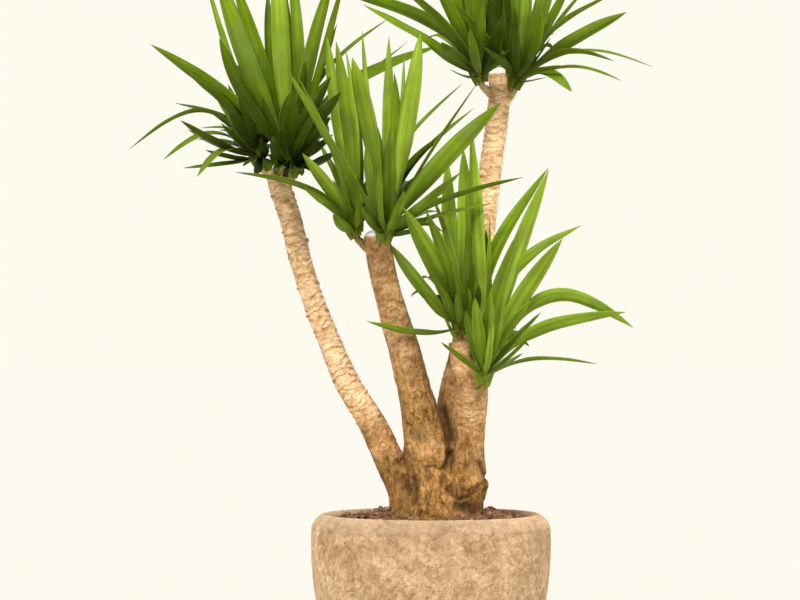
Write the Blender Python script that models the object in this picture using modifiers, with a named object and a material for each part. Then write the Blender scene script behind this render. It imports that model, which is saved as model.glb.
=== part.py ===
"""A tall yucca: four bare canes grown from one stump, with eight leafy heads, in a round stone pot.

Metres, +Z up, +X to the viewer's right and +Y away from the viewer. The origin is the middle of the
pot's flat foot. The canes, their sprout collars and the stump are one grown piece. Each head is a
short green shoot with its sword-shaped leaves, and stands on the flat end of its collar.
"""

import math

import bmesh
import bpy
import numpy as np
from mathutils.bvhtree import BVHTree

MM = 0.001
GAP = 0.0003
WELD = 0.000002
UP = np.array([0.0, 0.0, 1.0])
TO_VIEWER = np.array([0.0, -1.0, 0.0])

# Pot: a barrel wall that is an arc from its widest ring down to the foot
POT_HEIGHT = 0.410
POT_BELLY_RADIUS = 0.225
POT_BELLY_HEIGHT = 0.357
POT_FOOT_RADIUS = 0.124
POT_FOOT_ROUNDING = 0.006
POT_WALL = 0.026
POT_FLOOR = 0.030
RIM_INNER_RADIUS = 0.201
RIM_BEVEL_HEIGHT = 0.024
RIM_CREASE_HEIGHT = 0.382
RIM_CREASE_DEPTH = 0.0015
POT_STEPS = 36
WALL_POINTS = 6

# Soil
SOIL_EDGE_HEIGHT = 0.397
SOIL_MOUND = 0.010
SOIL_LUMP = 0.004
SOIL_RINGS = 4

# Stump: a lobed ellipse that is straight from the pot's soil up to its shoulder
STUMP_CENTRE = (0.0115, -0.005)
STUMP_HALF_WIDTH = 0.089
STUMP_HALF_DEPTH = 0.078
STUMP_LOBES = 7
STUMP_LOBE = 0.045
STUMP_SIDES = 24
STUMP_FOOT = 0.300
# Height, and the share of the outline that is left there
STUMP_RISE = ((0.300, 1.0), (0.424, 1.0), (0.448, 0.94), (0.472, 0.80), (0.490, 0.60))

# Canes, from the stump up: x, y, z and radius of the middle line
CANES = {
    "left": (
        (-0.041, 0.000, 0.421, 0.031),
        (-0.056, 0.000, 0.468, 0.030),
        (-0.073, 0.002, 0.500, 0.0285),
        (-0.109, 0.006, 0.577, 0.0255),
        (-0.155, 0.014, 0.653, 0.0238),
        (-0.189, 0.022, 0.730, 0.0212),
        (-0.220, 0.030, 0.807, 0.0203),
        (-0.245, 0.037, 0.884, 0.0207),
        (-0.264, 0.043, 0.961, 0.0208),
        (-0.284, 0.048, 1.024, 0.021),
        (-0.290, 0.050, 1.048, 0.0208),
        (-0.292, 0.051, 1.061, 0.0198),
    ),
    "middle": (
        (0.006, -0.016, 0.421, 0.050),
        (0.000, -0.018, 0.490, 0.0465),
        (-0.006, -0.022, 0.531, 0.044),
        (-0.0125, -0.027, 0.567, 0.040),
        (-0.030, -0.040, 0.639, 0.0322),
        (-0.048, -0.056, 0.711, 0.0292),
        (-0.069, -0.072, 0.783, 0.0268),
        (-0.089, -0.088, 0.856, 0.025),
        (-0.1015, -0.100, 0.931, 0.0238),
    ),
    "front": (
        (0.056, -0.026, 0.421, 0.037),
        (0.068, -0.034, 0.474, 0.0355),
        (0.072, -0.044, 0.540, 0.027),
        (0.073, -0.050, 0.572, 0.0275),
        (0.0745, -0.060, 0.620, 0.031),
        (0.0735, -0.068, 0.655, 0.0315),
        (0.067, -0.072, 0.690, 0.030),
        (0.057, -0.074, 0.736, 0.025),
    ),
    "tall": (
        (0.022, 0.030, 0.421, 0.036),
        (0.028, 0.034, 0.470, 0.034),
        (0.036, 0.042, 0.549, 0.033),
        (0.045, 0.051, 0.624, 0.031),
        (0.066, 0.064, 0.718, 0.0285),
        (0.083, 0.076, 0.812, 0.0255),
        (0.099, 0.088, 0.927, 0.0225),
        (0.108, 0.097, 1.004, 0.0218),
        (0.116, 0.104, 1.070, 0.0212),
        (0.125, 0.112, 1.134, 0.021),
        (0.133, 0.118, 1.200, 0.0215),
        (0.133, 0.120, 1.247, 0.0205),
    ),
}
CANE_SIDES = 10
SCAR_SPACING = 0.022
SCAR_RELIEF = 0.0012
COLLAR_SIDES = 8
COLLAR_ROOT_RADIUS = 0.0115
COLLAR_END_RADIUS = 0.0095
COLLAR_BEND = 0.008

# Shoots and leaves
SHOOT_FOOT_RADIUS = 0.0088
SHOOT_BULGE_RADIUS = 0.0125
SHOOT_TIP_RADIUS = 0.004
SHOOT_SIDES = 8
SLIM_LEAF = 0.018
FULL_LEAF = 0.034
SHORT_LEAF = 0.120
LONG_LEAF = 0.330
SPREAD_HEIGHT = 0.035
# Steepness in degrees, and the shares of the shoot where such a leaf is rooted and bends off
STEEPNESS = (-30, 85)
ROOT_SHARE = (0.07, 0.30)
BEND_SHARE = (0.17, 0.65)
ROOT_OUT = 0.005
BEND_OUT = 0.011
LEAF_THICKNESS = 0.0024
LEAF_CHANNEL = 0.16
LEAF_STATIONS = (0.0, 0.16, 0.40, 0.63, 0.84)
LEAF_CLEARANCE = 0.003
GOLDEN_ANGLE = math.radians(137.508)
SEED = 20

# Each head: the foot of its shoot, where its collar starts inside the cane, the way the shoot
# leans, its length, how many leaves the spiral adds and how long those are. Each leaf in the list is
# read off the photograph, in mm from the head's centre: tip across, towards the viewer and up, the
# height of its arch over the straight line, and the width that faces the viewer.
HEADS = {
    "rosette_left_1": {
        "foot": (-0.323, 0.060, 1.072),
        "centre": (-0.320, 0.060, 1.060),
        "collar": (-0.294, 0.051, 1.040),
        "lean": (-0.35, 0.08, 1.0),
        "shoot": 0.110,
        "more": 16,
        "reach": 0.280,
        "leaves": (
            (-175, -120, 135, 15, 15), (-250, 40, 35, 65, 11), (-175, 150, 10, 35, 9),
            (-140, 180, 80, -10, 13), (-165, -180, 15, 0, 11), (-110, 200, -20, 25, 13),
            (-135, -160, 70, 10, 15), (-50, -160, 225, 10, 23), (-95, -60, 155, 10, 28),
        ),
    },
    "rosette_left_2": {
        "foot": (-0.262, 0.030, 1.047),
        "centre": (-0.266, 0.035, 1.051),
        "collar": (-0.282, 0.044, 1.016),
        "lean": (0.15, -0.15, 1.0),
        "shoot": 0.130,
        "more": 9,
        "reach": 0.300,
        "leaves": (
            (-260, 60, 240, 10, 30), (-200, 130, 190, 5, 19), (-140, -90, 265, 10, 25),
            (-110, 170, 185, 5, 24), (-170, -140, 385, 0, 13), (-140, 80, 375, 0, 34),
            (-110, -40, 370, 0, 28), (-25, 40, 435, 0, 38), (-5, -80, 435, 0, 26),
            (85, 60, 380, 5, 26), (105, -60, 385, 5, 19), (175, -60, 295, 25, 17),
            (290, -60, 245, 45, 24), (90, 200, 155, 5, 28), (110, 200, 35, 0, 19),
            (175, -170, 170, 0, 11), (10, 210, 165, 10, 32),
        ),
    },
    "rosette_middle_1": {
        "foot": (-0.138, -0.096, 0.930),
        "centre": (-0.134, -0.095, 0.935),
        "collar": (-0.108, -0.098, 0.900),
        "lean": (-0.30, 0.04, 1.0),
        "shoot": 0.100,
        "more": 9,
        "reach": 0.260,
        "leaves": (
            (-60, -60, 370, 0, 24), (-40, 60, 350, 5, 30), (-25, -120, 350, 0, 13),
            (-110, 130, 280, 10, 13), (-200, 80, 220, 5, 24), (-220, 90, 110, 10, 13),
            (-105, 180, 75, 10, 13), (-45, 160, 25, 5, 19), (-55, -200, 145, 0, 15),
        ),
    },
    "rosette_middle_2": {
        "foot": (-0.085, -0.136, 0.918),
        "centre": (-0.080, -0.139, 0.915),
        "collar": (-0.096, -0.106, 0.886),
        "lean": (0.10, -0.20, 1.0),
        "shoot": 0.100,
        "more": 9,
        "reach": 0.270,
        "leaves": (
            (-65, 80, 330, 0, 30), (-185, 130, 300, -10, 17), (-45, -80, 395, 0, 11),
            (5, -30, 380, 0, 21), (15, -160, 320, 0, 17), (30, -120, 345, 0, 9),
            (60, 40, 375, 5, 28), (145, -120, 300, 5, 11), (165, 60, 290, 5, 11),
            (165, -90, 255, 5, 15), (205, 110, 250, 5, 36), (245, 120, 115, 10, 13),
            (190, 140, 65, 10, 11), (120, 190, 130, 5, 17), (95, 200, 40, 5, 15),
        ),
    },
    "rosette_front_1": {
        "foot": (0.053, -0.066, 0.748),
        "centre": (0.044, -0.050, 0.740),
        "collar": (0.059, -0.073, 0.712),
        "lean": (-0.10, 0.05, 1.0),
        "shoot": 0.100,
        "more": 9,
        "reach": 0.250,
        "leaves": (
            (-160, 60, 30, 5, 11), (-120, 60, 175, -5, 28), (-90, -60, 235, 5, 30),
            (-50, 120, 220, 5, 21), (-45, 60, 275, 5, 17), (-10, -80, 335, 5, 26),
            (10, -60, 340, 0, 11), (35, 20, 365, 0, 30), (-50, -160, 75, 5, 15),
        ),
    },
    "rosette_front_2": {
        "foot": (0.096, -0.109, 0.655),
        "centre": (0.106, -0.111, 0.663),
        "collar": (0.078, -0.076, 0.624),
        "lean": (0.10, -0.15, 1.0),
        "shoot": 0.110,
        "more": 9,
        "reach": 0.260,
        "leaves": (
            (-30, 20, 420, 5, 15), (0, 120, 300, 5, 13), (-5, -60, 295, 0, 19),
            (115, -60, 390, 10, 26), (110, 60, 390, 5, 24), (55, 140, 280, 5, 19),
            (175, -60, 285, 5, 17), (135, 60, 255, 5, 34), (265, 40, 95, 75, 21),
            (250, 60, 120, 15, 24), (195, 60, 30, 15, 9), (130, -140, 145, 5, 11),
            (90, 150, 125, 5, 15), (55, 180, 50, 0, 13), (85, -170, 85, 0, 11),
            (-15, 190, 150, 20, 32), (-90, 150, 70, 5, 17),
        ),
    },
    "rosette_tall_1": {
        "foot": (0.098, 0.118, 1.232),
        "centre": (0.103, 0.120, 1.243),
        "collar": (0.126, 0.119, 1.202),
        "lean": (-0.30, 0.00, 1.0),
        "shoot": 0.100,
        "more": 13,
        "reach": 0.290,
        "leaves": (
            (-265, 60, 140, 5, 26), (-235, -80, 145, 5, 15), (-145, -180, 105, 5, 13),
            (-55, 190, -5, 5, 15), (-170, 140, 145, 5, 19), (-15, 120, 245, 5, 23),
            (-115, 60, 190, 5, 26), (-85, -90, 265, 5, 24), (-45, 60, 300, 5, 28),
            (0, -50, 355, 0, 26), (25, -120, 335, 0, 19), (-10, 190, 100, 10, 26),
            (35, 170, 115, 10, 26), (-60, 150, 90, 10, 23),
        ),
    },
    "rosette_tall_2": {
        "foot": (0.162, 0.106, 1.220),
        "centre": (0.163, 0.106, 1.227),
        "collar": (0.139, 0.115, 1.188),
        "lean": (0.28, -0.10, 1.0),
        "shoot": 0.100,
        "more": 13,
        "reach": 0.290,
        "leaves": (
            (210, 60, 135, 5, 28), (215, -80, 195, 5, 17), (255, 60, 30, 15, 9),
            (195, -120, 55, 15, 17), (195, 110, 0, 20, 9), (95, 150, -25, 40, 24),
            (120, -190, 55, 10, 15), (5, 60, 345, 0, 28), (50, 120, 290, 5, 28),
            (115, -60, 275, 5, 23), (155, 60, 230, 5, 24), (-15, -90, 390, 0, 24),
            (40, -40, 375, 0, 26), (-35, 190, 95, 10, 26), (5, 200, 120, 10, 26),
            (55, 170, 115, 10, 24),
        ),
    },
}


def clear_scene():
    for obj in list(bpy.data.objects):
        bpy.data.objects.remove(obj)


def new_collection(name, seen=True):
    collection = bpy.data.collections.new(name)
    bpy.context.scene.collection.children.link(collection)
    collection.hide_render = not seen
    return collection


def new_material(name, colour, roughness):
    material = bpy.data.materials.new(name)
    material.use_nodes = True
    shader = material.node_tree.nodes["Principled BSDF"]
    shader.inputs["Base Color"].default_value = (*colour, 1.0)
    shader.inputs["Roughness"].default_value = roughness
    shader.inputs["Metallic"].default_value = 0.0
    return material


def new_object(name, collection, material, points, faces):
    """A mesh object from points and faces, with its normals made to point outwards."""
    mesh = bpy.data.meshes.new(name)
    mesh.from_pydata([tuple(point) for point in points], [], faces)
    shape = bmesh.new()
    shape.from_mesh(mesh)
    bmesh.ops.recalc_face_normals(shape, faces=shape.faces)
    shape.to_mesh(mesh)
    shape.free()
    mesh.materials.append(material)
    obj = bpy.data.objects.new(name, mesh)
    collection.objects.link(obj)
    return obj


def unit(vectors):
    vectors = np.asarray(vectors, float)
    return vectors / np.linalg.norm(vectors, axis=-1, keepdims=True)


def loft(rings):
    """Points and faces of a closed tube through rings of equal count, with a flat face at each end."""
    count, sides = rings.shape[:2]
    faces = []
    for ring in range(count - 1):
        for side in range(sides):
            low = ring * sides
            after = (side + 1) % sides
            faces.append((low + side, low + after, low + sides + after, low + sides + side))
    faces.append(tuple(range(sides))[::-1])
    faces.append(tuple(range((count - 1) * sides, count * sides)))
    return rings.reshape(-1, 3), faces


def smooth_rows(rows, step):
    """Rows of x, y, z, radius spaced evenly, about a step apart, on a Catmull-Rom curve through the given ones."""
    rows = np.asarray(rows, float)
    rows = np.vstack([2 * rows[0] - rows[1], rows, 2 * rows[-1] - rows[-2]])
    share = np.linspace(0, 1, 12, endpoint=False)[:, None]
    dense = []
    for before, start, end, after in zip(rows, rows[1:], rows[2:], rows[3:]):
        cubic = 3 * start - before - 3 * end + after
        square = 2 * before - 5 * start + 4 * end - after
        dense.append(start + 0.5 * ((end - before) * share + square * share**2 + cubic * share**3))
    dense = np.vstack([*dense, rows[-2:-1]])
    along = np.r_[0, np.cumsum(np.linalg.norm(np.diff(dense[:, :3], axis=0), axis=1))]
    places = np.linspace(0, along[-1], max(2, round(along[-1] / step) + 1))
    return np.stack([np.interp(places, along, column) for column in dense.T], axis=1)


def tube_rings(rows, sides, relief=0.0):
    """Rings round a path of x, y, z, radius. The relief lifts every other point, shifted from ring to ring."""
    middles = rows[:, :3]
    along = unit(np.gradient(middles, axis=0))
    across = unit(np.cross(TO_VIEWER, along))
    outward = np.cross(along, across)
    angles = np.arange(sides) * 2 * math.pi / sides
    checker = (np.arange(len(rows))[:, None] + np.arange(sides)) % 2 * 2 - 1
    checker[0] = checker[-1] = 0
    radius = rows[:, 3:] + relief * checker
    return (
        middles[:, None]
        + (radius * np.cos(angles))[..., None] * across[:, None]
        + (radius * np.sin(angles))[..., None] * outward[:, None]
    )


def arc_radius():
    """Radius of the wall's arc, which is upright at the belly and ends at the foot."""
    inset = POT_BELLY_RADIUS - POT_FOOT_RADIUS
    return (inset**2 + POT_BELLY_HEIGHT**2) / (2 * inset)


def wall_radius(height):
    arc = arc_radius()
    return POT_BELLY_RADIUS - arc + math.sqrt(arc**2 - (height - POT_BELLY_HEIGHT) ** 2)


def turned(name, collection, material, profile):
    """A profile in X and Z turned round Z."""
    mesh = bpy.data.meshes.new(name)
    edges = [(i, i + 1) for i in range(len(profile) - 1)]
    mesh.from_pydata([(radius, 0.0, height) for radius, height in profile], edges, [])
    mesh.materials.append(material)
    obj = bpy.data.objects.new(name, mesh)
    collection.objects.link(obj)
    screw = obj.modifiers.new("Turn", "SCREW")
    screw.steps = POT_STEPS
    screw.render_steps = POT_STEPS
    screw.use_merge_vertices = True
    screw.merge_threshold = 0.00005
    screw.use_smooth_shade = True
    return obj


def inner_wall():
    """Radii and heights of the pot's inner wall, from its floor up."""
    heights = np.linspace(POT_FLOOR, POT_HEIGHT - 0.004, WALL_POINTS)
    radii = [min(RIM_INNER_RADIUS - 0.002, wall_radius(height) - POT_WALL) for height in heights]
    return np.array(radii), heights


def add_pot(collection):
    """The pot's wall: inner floor and wall, rounded rim bevel, crease below it, barrel wall and flat foot."""
    profile = [(0.0, POT_FLOOR), *zip(*inner_wall())]
    profile.append((RIM_INNER_RADIUS, POT_HEIGHT))
    bevel_foot = POT_HEIGHT - RIM_BEVEL_HEIGHT
    bevel_width = wall_radius(bevel_foot) - RIM_INNER_RADIUS - 0.003
    for angle in np.radians((90, 60, 30, 0)):
        radius = RIM_INNER_RADIUS + 0.003 + bevel_width * math.cos(angle)
        profile.append((radius, bevel_foot + RIM_BEVEL_HEIGHT * math.sin(angle)))
    profile.append((wall_radius(RIM_CREASE_HEIGHT) - RIM_CREASE_DEPTH, RIM_CREASE_HEIGHT))
    for height in np.linspace(RIM_CREASE_HEIGHT - 0.003, POT_FOOT_ROUNDING, WALL_POINTS):
        profile.append((wall_radius(height), height))
    profile.append((wall_radius(0.0) - POT_FOOT_ROUNDING, 0.0))
    profile.append((0.0, 0.0))
    stone = new_material("pot stone", (0.44, 0.33, 0.23), 0.85)
    return turned("pot", collection, stone, profile)


def stump_outline(grow=0.0):
    """The stump's lobed ellipse round its centre, made larger by grow."""
    angles = np.arange(STUMP_SIDES) * 2 * math.pi / STUMP_SIDES
    lobes = 1 + STUMP_LOBE * np.cos(STUMP_LOBES * angles + 0.6) - STUMP_LOBE
    x = (STUMP_HALF_WIDTH * lobes + grow) * np.cos(angles)
    y = (STUMP_HALF_DEPTH * lobes + grow) * np.sin(angles)
    return np.stack([x, y, np.zeros(STUMP_SIDES)], axis=1)


def stump_rings(grow=0.0, rise=STUMP_RISE):
    middle = np.array([*STUMP_CENTRE, 0.0])
    outline = stump_outline(grow)
    return np.array([middle + outline * share + height * UP for height, share in rise])


def apply_modifiers(obj):
    """Replaces the object's mesh with the one that its modifiers make."""
    graph = bpy.context.evaluated_depsgraph_get()
    mesh = bpy.data.meshes.new_from_object(obj.evaluated_get(graph), depsgraph=graph)
    obj.modifiers.clear()
    obj.data = mesh


def add_soil(collection, cutters):
    """The soil that fills the pot, lumpy on top and mounded to the stump, which stands in its hole."""
    radii, heights = inner_wall()
    edge = np.interp(SOIL_EDGE_HEIGHT, heights, radii) - GAP
    profile = [(0.0, SOIL_EDGE_HEIGHT + SOIL_MOUND)]
    for share in np.linspace(0.25, 1, SOIL_RINGS):
        profile.append((edge * share, SOIL_EDGE_HEIGHT + SOIL_MOUND * (1 - share**2)))
    profile += [(radius - GAP, height) for radius, height in zip(radii[-2:0:-1], heights[-2:0:-1])]
    profile.append((radii[0] - GAP, POT_FLOOR + GAP))
    profile.append((0.0, POT_FLOOR + GAP))
    earth = new_material("potting soil", (0.07, 0.04, 0.025), 0.95)
    soil = turned("soil", collection, earth, profile)
    apply_modifiers(soil)
    for vertex in soil.data.vertices:
        x, y, z = vertex.co
        inside = 1 - min(1, math.hypot(x, y) / edge) ** 6
        if z > SOIL_EDGE_HEIGHT - 0.001:
            vertex.co.z += SOIL_LUMP * inside * math.sin(61 * x + 2) * math.cos(47 * y + 1)
    earth_hole = ((STUMP_FOOT - GAP, 1.0), (POT_HEIGHT + 0.1, 1.0))
    hole = new_object("stump_hole", cutters, earth, *loft(stump_rings(2 * GAP, earth_hole)))
    hole.display_type = "WIRE"
    hole.hide_render = True
    cut = soil.modifiers.new("Stump hole", "BOOLEAN")
    cut.operation = "DIFFERENCE"
    cut.object = hole
    cut.solver = "EXACT"
    return soil


def keep_outer_skin(obj):
    """Drops loose scraps, and the skins of hollows that the leaves sealed, so that those are filled."""
    shape = bmesh.new()
    shape.from_mesh(obj.data)
    bmesh.ops.remove_doubles(shape, verts=shape.verts, dist=WELD)
    unseen = set(shape.faces)
    skins = []
    while unseen:
        reached = [unseen.pop()]
        for face in reached:
            for edge in face.edges:
                for other in edge.link_faces:
                    if other in unseen and len(edge.link_faces) == 2:
                        unseen.remove(other)
                        reached.append(other)
        skins.append(reached)
    skins.sort(key=len)
    for skin in skins[:-1]:
        bmesh.ops.delete(shape, geom=skin, context="FACES")
    shape.to_mesh(obj.data)
    shape.free()


def join(base, collection_of_parts, solver):
    """One solid from the base and every object in the collection, which is then emptied."""
    union = base.modifiers.new("Grown together", "BOOLEAN")
    union.operation = "UNION"
    union.operand_type = "COLLECTION"
    union.collection = collection_of_parts
    union.solver = solver
    apply_modifiers(base)
    for obj in list(collection_of_parts.objects):
        bpy.data.objects.remove(obj)
    bpy.data.collections.remove(collection_of_parts)
    keep_outer_skin(base)
    base.data.set_sharp_from_angle(angle=math.radians(35))


def collar_rows(head):
    """The collar's path: out of the cane, and then along the shoot to end flat under its foot."""
    foot = np.array(head["foot"])
    start = np.array(head["collar"])
    before = foot - COLLAR_BEND * unit(head["lean"])
    return np.array(
        [
            (*start, COLLAR_ROOT_RADIUS),
            (*(0.4 * start + 0.6 * before), COLLAR_ROOT_RADIUS),
            (*before, COLLAR_END_RADIUS),
            (*foot, COLLAR_END_RADIUS),
        ]
    )


def add_trunk(collection, woody_shapes):
    """The stump with its four canes and the sprout collars, as one solid."""
    bark = new_material("bark", (0.55, 0.33, 0.17), 0.9)
    trunk = new_object("trunk", collection, bark, *loft(stump_rings()))
    parts = new_collection("trunk parts")
    for number, shape in enumerate(woody_shapes):
        new_object(f"wood_{number}", parts, bark, *shape)
    join(trunk, parts, "MANIFOLD")
    return trunk


def wood():
    """Points and faces of each cane and each collar."""
    shapes = []
    for rows in CANES.values():
        shapes.append(loft(tube_rings(smooth_rows(rows, SCAR_SPACING), CANE_SIDES, SCAR_RELIEF)))
    for head in HEADS.values():
        shapes.append(loft(tube_rings(collar_rows(head), COLLAR_SIDES)))
    return shapes


def shoot_rows(head):
    foot = np.array(head["foot"])
    axis = unit(head["lean"])
    shares = np.array([0.0, 0.3, 0.65, 1.0])
    radii = (SHOOT_FOOT_RADIUS, SHOOT_BULGE_RADIUS, SHOOT_BULGE_RADIUS, SHOOT_TIP_RADIUS)
    middles = foot + axis * GAP + shares[:, None] * axis * head["shoot"]
    return np.column_stack([middles, radii])


def leaf_from_tip(head, tip, lift, shown, roll=None):
    """A leaf from its tip. It hugs the shoot from its root up to where it bends off.

    A steep leaf bends off high on the shoot, and a flat or drooping one low on it.
    """
    foot = np.array(head["foot"])
    axis = unit(head["lean"])
    way = unit(tip - foot - axis * SPREAD_HEIGHT)
    steepness = math.degrees(math.asin(np.clip(way @ axis, -1, 1)))
    side = unit(way - (way @ axis) * axis)
    root_height = np.interp(steepness, STEEPNESS, ROOT_SHARE) * head["shoot"]
    bend_height = np.interp(steepness, STEEPNESS, BEND_SHARE) * head["shoot"]
    root = foot + axis * root_height + side * ROOT_OUT
    bend = foot + axis * bend_height + side * BEND_OUT
    length = np.linalg.norm(tip - root)
    return {
        "root": root,
        "bend": bend,
        "tip": tip,
        "lift": lift,
        "width": max(shown, np.interp(length, (SHORT_LEAF, LONG_LEAF), (SLIM_LEAF, FULL_LEAF))),
        "shown": shown,
        "roll": roll,
    }


def leaf_frame(leaf, shares):
    """Middle line, width direction and upper side of a leaf at shares of its length.

    The middle line is a cubic Bezier curve: from the root towards the bend, and then to the tip over
    a point that the leaf's lift raises. The upper side faces up and inwards, and turns about the
    middle line until the wanted width shows.
    """
    shares = np.asarray(shares, float)[:, None]
    rest = 1 - shares
    root, bend, tip = leaf["root"], leaf["bend"], leaf["tip"]
    crest = (bend + 2 * tip) / 3 + 2.5 * leaf["lift"] * UP
    middle = rest**3 * root + 3 * rest**2 * shares * bend + 3 * rest * shares**2 * crest + shares**3 * tip
    along = unit(rest**2 * (bend - root) + 2 * rest * shares * (crest - bend) + shares**2 * (tip - crest))
    outward = (tip - root) * (1, 1, 0) + 1e-6
    across = np.cross(UP, unit(outward))
    upper = unit(np.cross(along, across))
    roll = leaf["roll"]
    if roll is None:
        chord = unit(tip - root)
        seen = TO_VIEWER - (TO_VIEWER @ chord) * chord
        natural = unit(np.cross(chord, across))
        turn = math.atan2(np.cross(natural, seen) @ chord, natural @ seen)
        turn = (turn + math.pi / 2) % math.pi - math.pi / 2
        kept = math.acos(min(1, leaf["shown"] / leaf["width"]))
        roll = math.copysign(max(0, abs(turn) - kept), turn)
    turned_by = roll * np.clip(shares / 0.35, 0, 1)
    upper = upper * np.cos(turned_by) + np.cross(along, upper) * np.sin(turned_by)
    return middle, np.cross(upper, along), upper


def width_share(shares):
    """Share of a leaf's full width: a neck above the root, full at the middle, a long sharp tip."""
    shares = np.asarray(shares, float)
    rise = np.clip(shares / 0.45, 0, 1)
    neck = 0.34 + 0.66 * rise**2 * (3 - 2 * rise)
    fall = np.clip((shares - 0.5) / 0.5, 0, 1)
    return neck * (1 - fall**1.8)


def blade(leaf, grow=0.0, first=0):
    """Points and faces of a leaf: four-sided sections with a channel along the top, and a sharp tip."""
    shares = LEAF_STATIONS[first:]
    middle, across, upper = leaf_frame(leaf, (*shares, 1.0))
    width = leaf["width"] * width_share(shares)[:, None] + grow
    sunk = middle[:-1] - LEAF_CHANNEL * width * upper[:-1]
    half = (LEAF_THICKNESS + grow) / 2 * upper[:-1]
    edge = width / 2 * across[:-1]
    rings = np.stack([middle[:-1] + edge, sunk + half, middle[:-1] - edge, sunk - half], axis=1)
    points, faces = loft(rings)
    tip = len(points)
    last = faces.pop()
    faces += [(last[i], last[(i + 1) % 4], tip) for i in range(4)]
    return np.vstack([points, middle[-1:]]), faces


def tree_of(shape):
    points, faces = shape
    return BVHTree.FromPolygons([tuple(point) for point in points], faces)


def hero_choices(head, reading):
    """The leaf as read, and then versions bent nearer to or further from the viewer."""
    across, toward, up, lift, shown = (value * MM for value in reading)
    centre = np.array(head["centre"])
    for shift in (0, 20, -20, 40, -40, 60, -60, 85, -85, 110, -110, 140, -140):
        tip = centre + (across, -(toward + shift * MM), up)
        yield leaf_from_tip(head, tip, lift, shown)


def spiral_choices(head, number, draw):
    """The next leaf of the spiral, from upright to hanging, and then versions turned aside."""
    share = (number + 0.5) / head["more"]
    turn = number * GOLDEN_ANGLE + draw.uniform(0, 0.4)
    steep = math.radians(80 - 74 * share + draw.uniform(-7, 7))
    reach = head["reach"] * draw.uniform(0.85, 1.0)
    lift = draw.uniform(0.00, 0.10) * reach * math.cos(steep)
    roll = math.radians(draw.uniform(-30, 30))
    foot = np.array(head["foot"])
    for step in (0, 7, -7, 14, -14, 21, -21, 28, -28, 36, -36, 45, -45, 55, -55):
        way = turn + math.radians(step)
        flat = np.array([math.cos(way), math.sin(way), 0.0])
        length = reach * (0.72 + 0.28 * abs(flat[1]))
        tip = foot + length * (math.cos(steep) * flat + math.sin(steep) * UP)
        yield leaf_from_tip(head, tip, lift, head["reach"] * 0.1, roll)


def grow_leaves(woody_shapes):
    """Each head's leaves. A leaf is turned aside until it clears the canes and all other heads."""
    fixed = [(None, tree_of(shape)) for shape in woody_shapes]
    for name, head in HEADS.items():
        fixed.append((name, tree_of(loft(tube_rings(shoot_rows(head), SHOOT_SIDES)))))
    grown = {name: [] for name in HEADS}
    outer = {name: [] for name in HEADS}

    def place(name, choices):
        best = None
        for leaf in choices:
            body = tree_of(blade(leaf, LEAF_CLEARANCE))
            if any(body.overlap(tree) for owner, tree in fixed if owner != name):
                continue
            tail = tree_of(blade(leaf, 0.0, 2))
            crossed = sum(bool(tail.overlap(tree)) for tree in outer[name])
            if best is None or crossed < best[0]:
                best = (crossed, leaf, tail)
            if crossed == 0:
                break
        if best:
            grown[name].append(best[1])
            outer[name].append(best[2])
            fixed.append((name, tree_of(blade(best[1], LEAF_CLEARANCE))))

    for name, head in HEADS.items():
        for reading in head["leaves"]:
            place(name, hero_choices(head, reading))
    for order, (name, head) in enumerate(HEADS.items()):
        draw = np.random.default_rng(SEED + order)
        for number in range(head["more"]):
            place(name, spiral_choices(head, number, draw))
    return grown


def add_head(name, head, leaves, collection, green):
    """A shoot with all its leaves, as one solid."""
    shoot = new_object(name, collection, green, *loft(tube_rings(shoot_rows(head), SHOOT_SIDES)))
    parts = new_collection(f"{name} parts")
    for number, leaf in enumerate(leaves):
        new_object(f"{name}_leaf_{number}", parts, green, *blade(leaf))
    join(shoot, parts, "MANIFOLD")
    return shoot


def main():
    clear_scene()
    collection = new_collection("potted yucca")
    cutters = new_collection("cutters", seen=False)
    add_pot(collection)
    add_soil(collection, cutters)
    woody_shapes = wood()
    add_trunk(collection, woody_shapes)
    green = new_material("leaf", (0.16, 0.32, 0.03), 0.45)
    for name, leaves in grow_leaves(woody_shapes).items():
        add_head(name, HEADS[name], leaves, collection, green)


main()
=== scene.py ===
"""Looks of a tall potted yucca: four bare canes from one stump, eight leafy heads, a round stone pot.

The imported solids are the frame, in metres, +Z up. Each piece here stands in the place of one of them
with a finer surface, worked out with numpy as a grid of points. The pot, the canes and the heads'
feet are where the solids have them. The leaves grow by a rule like the solids' own with more of them
read off the photograph, so a fine head fills about the room of its solid.
"""

import math

import bpy
import numpy as np
from mathutils.bvhtree import BVHTree
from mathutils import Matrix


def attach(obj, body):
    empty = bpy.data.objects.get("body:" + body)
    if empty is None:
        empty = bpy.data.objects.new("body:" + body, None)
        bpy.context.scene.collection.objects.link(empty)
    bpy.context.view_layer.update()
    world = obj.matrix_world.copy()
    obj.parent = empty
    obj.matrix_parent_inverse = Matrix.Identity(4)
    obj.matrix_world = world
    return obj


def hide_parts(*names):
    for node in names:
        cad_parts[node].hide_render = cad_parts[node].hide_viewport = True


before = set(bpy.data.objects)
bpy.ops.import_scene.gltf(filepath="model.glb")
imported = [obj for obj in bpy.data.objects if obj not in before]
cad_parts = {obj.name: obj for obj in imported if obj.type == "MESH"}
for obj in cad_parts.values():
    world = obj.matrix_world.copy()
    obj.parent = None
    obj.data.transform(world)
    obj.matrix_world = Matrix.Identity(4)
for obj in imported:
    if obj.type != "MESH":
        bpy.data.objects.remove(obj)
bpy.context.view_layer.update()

MM = 0.001
GAP = 0.0003
UP = np.array([0.0, 0.0, 1.0])
TO_VIEWER = np.array([0.0, -1.0, 0.0])

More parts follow.
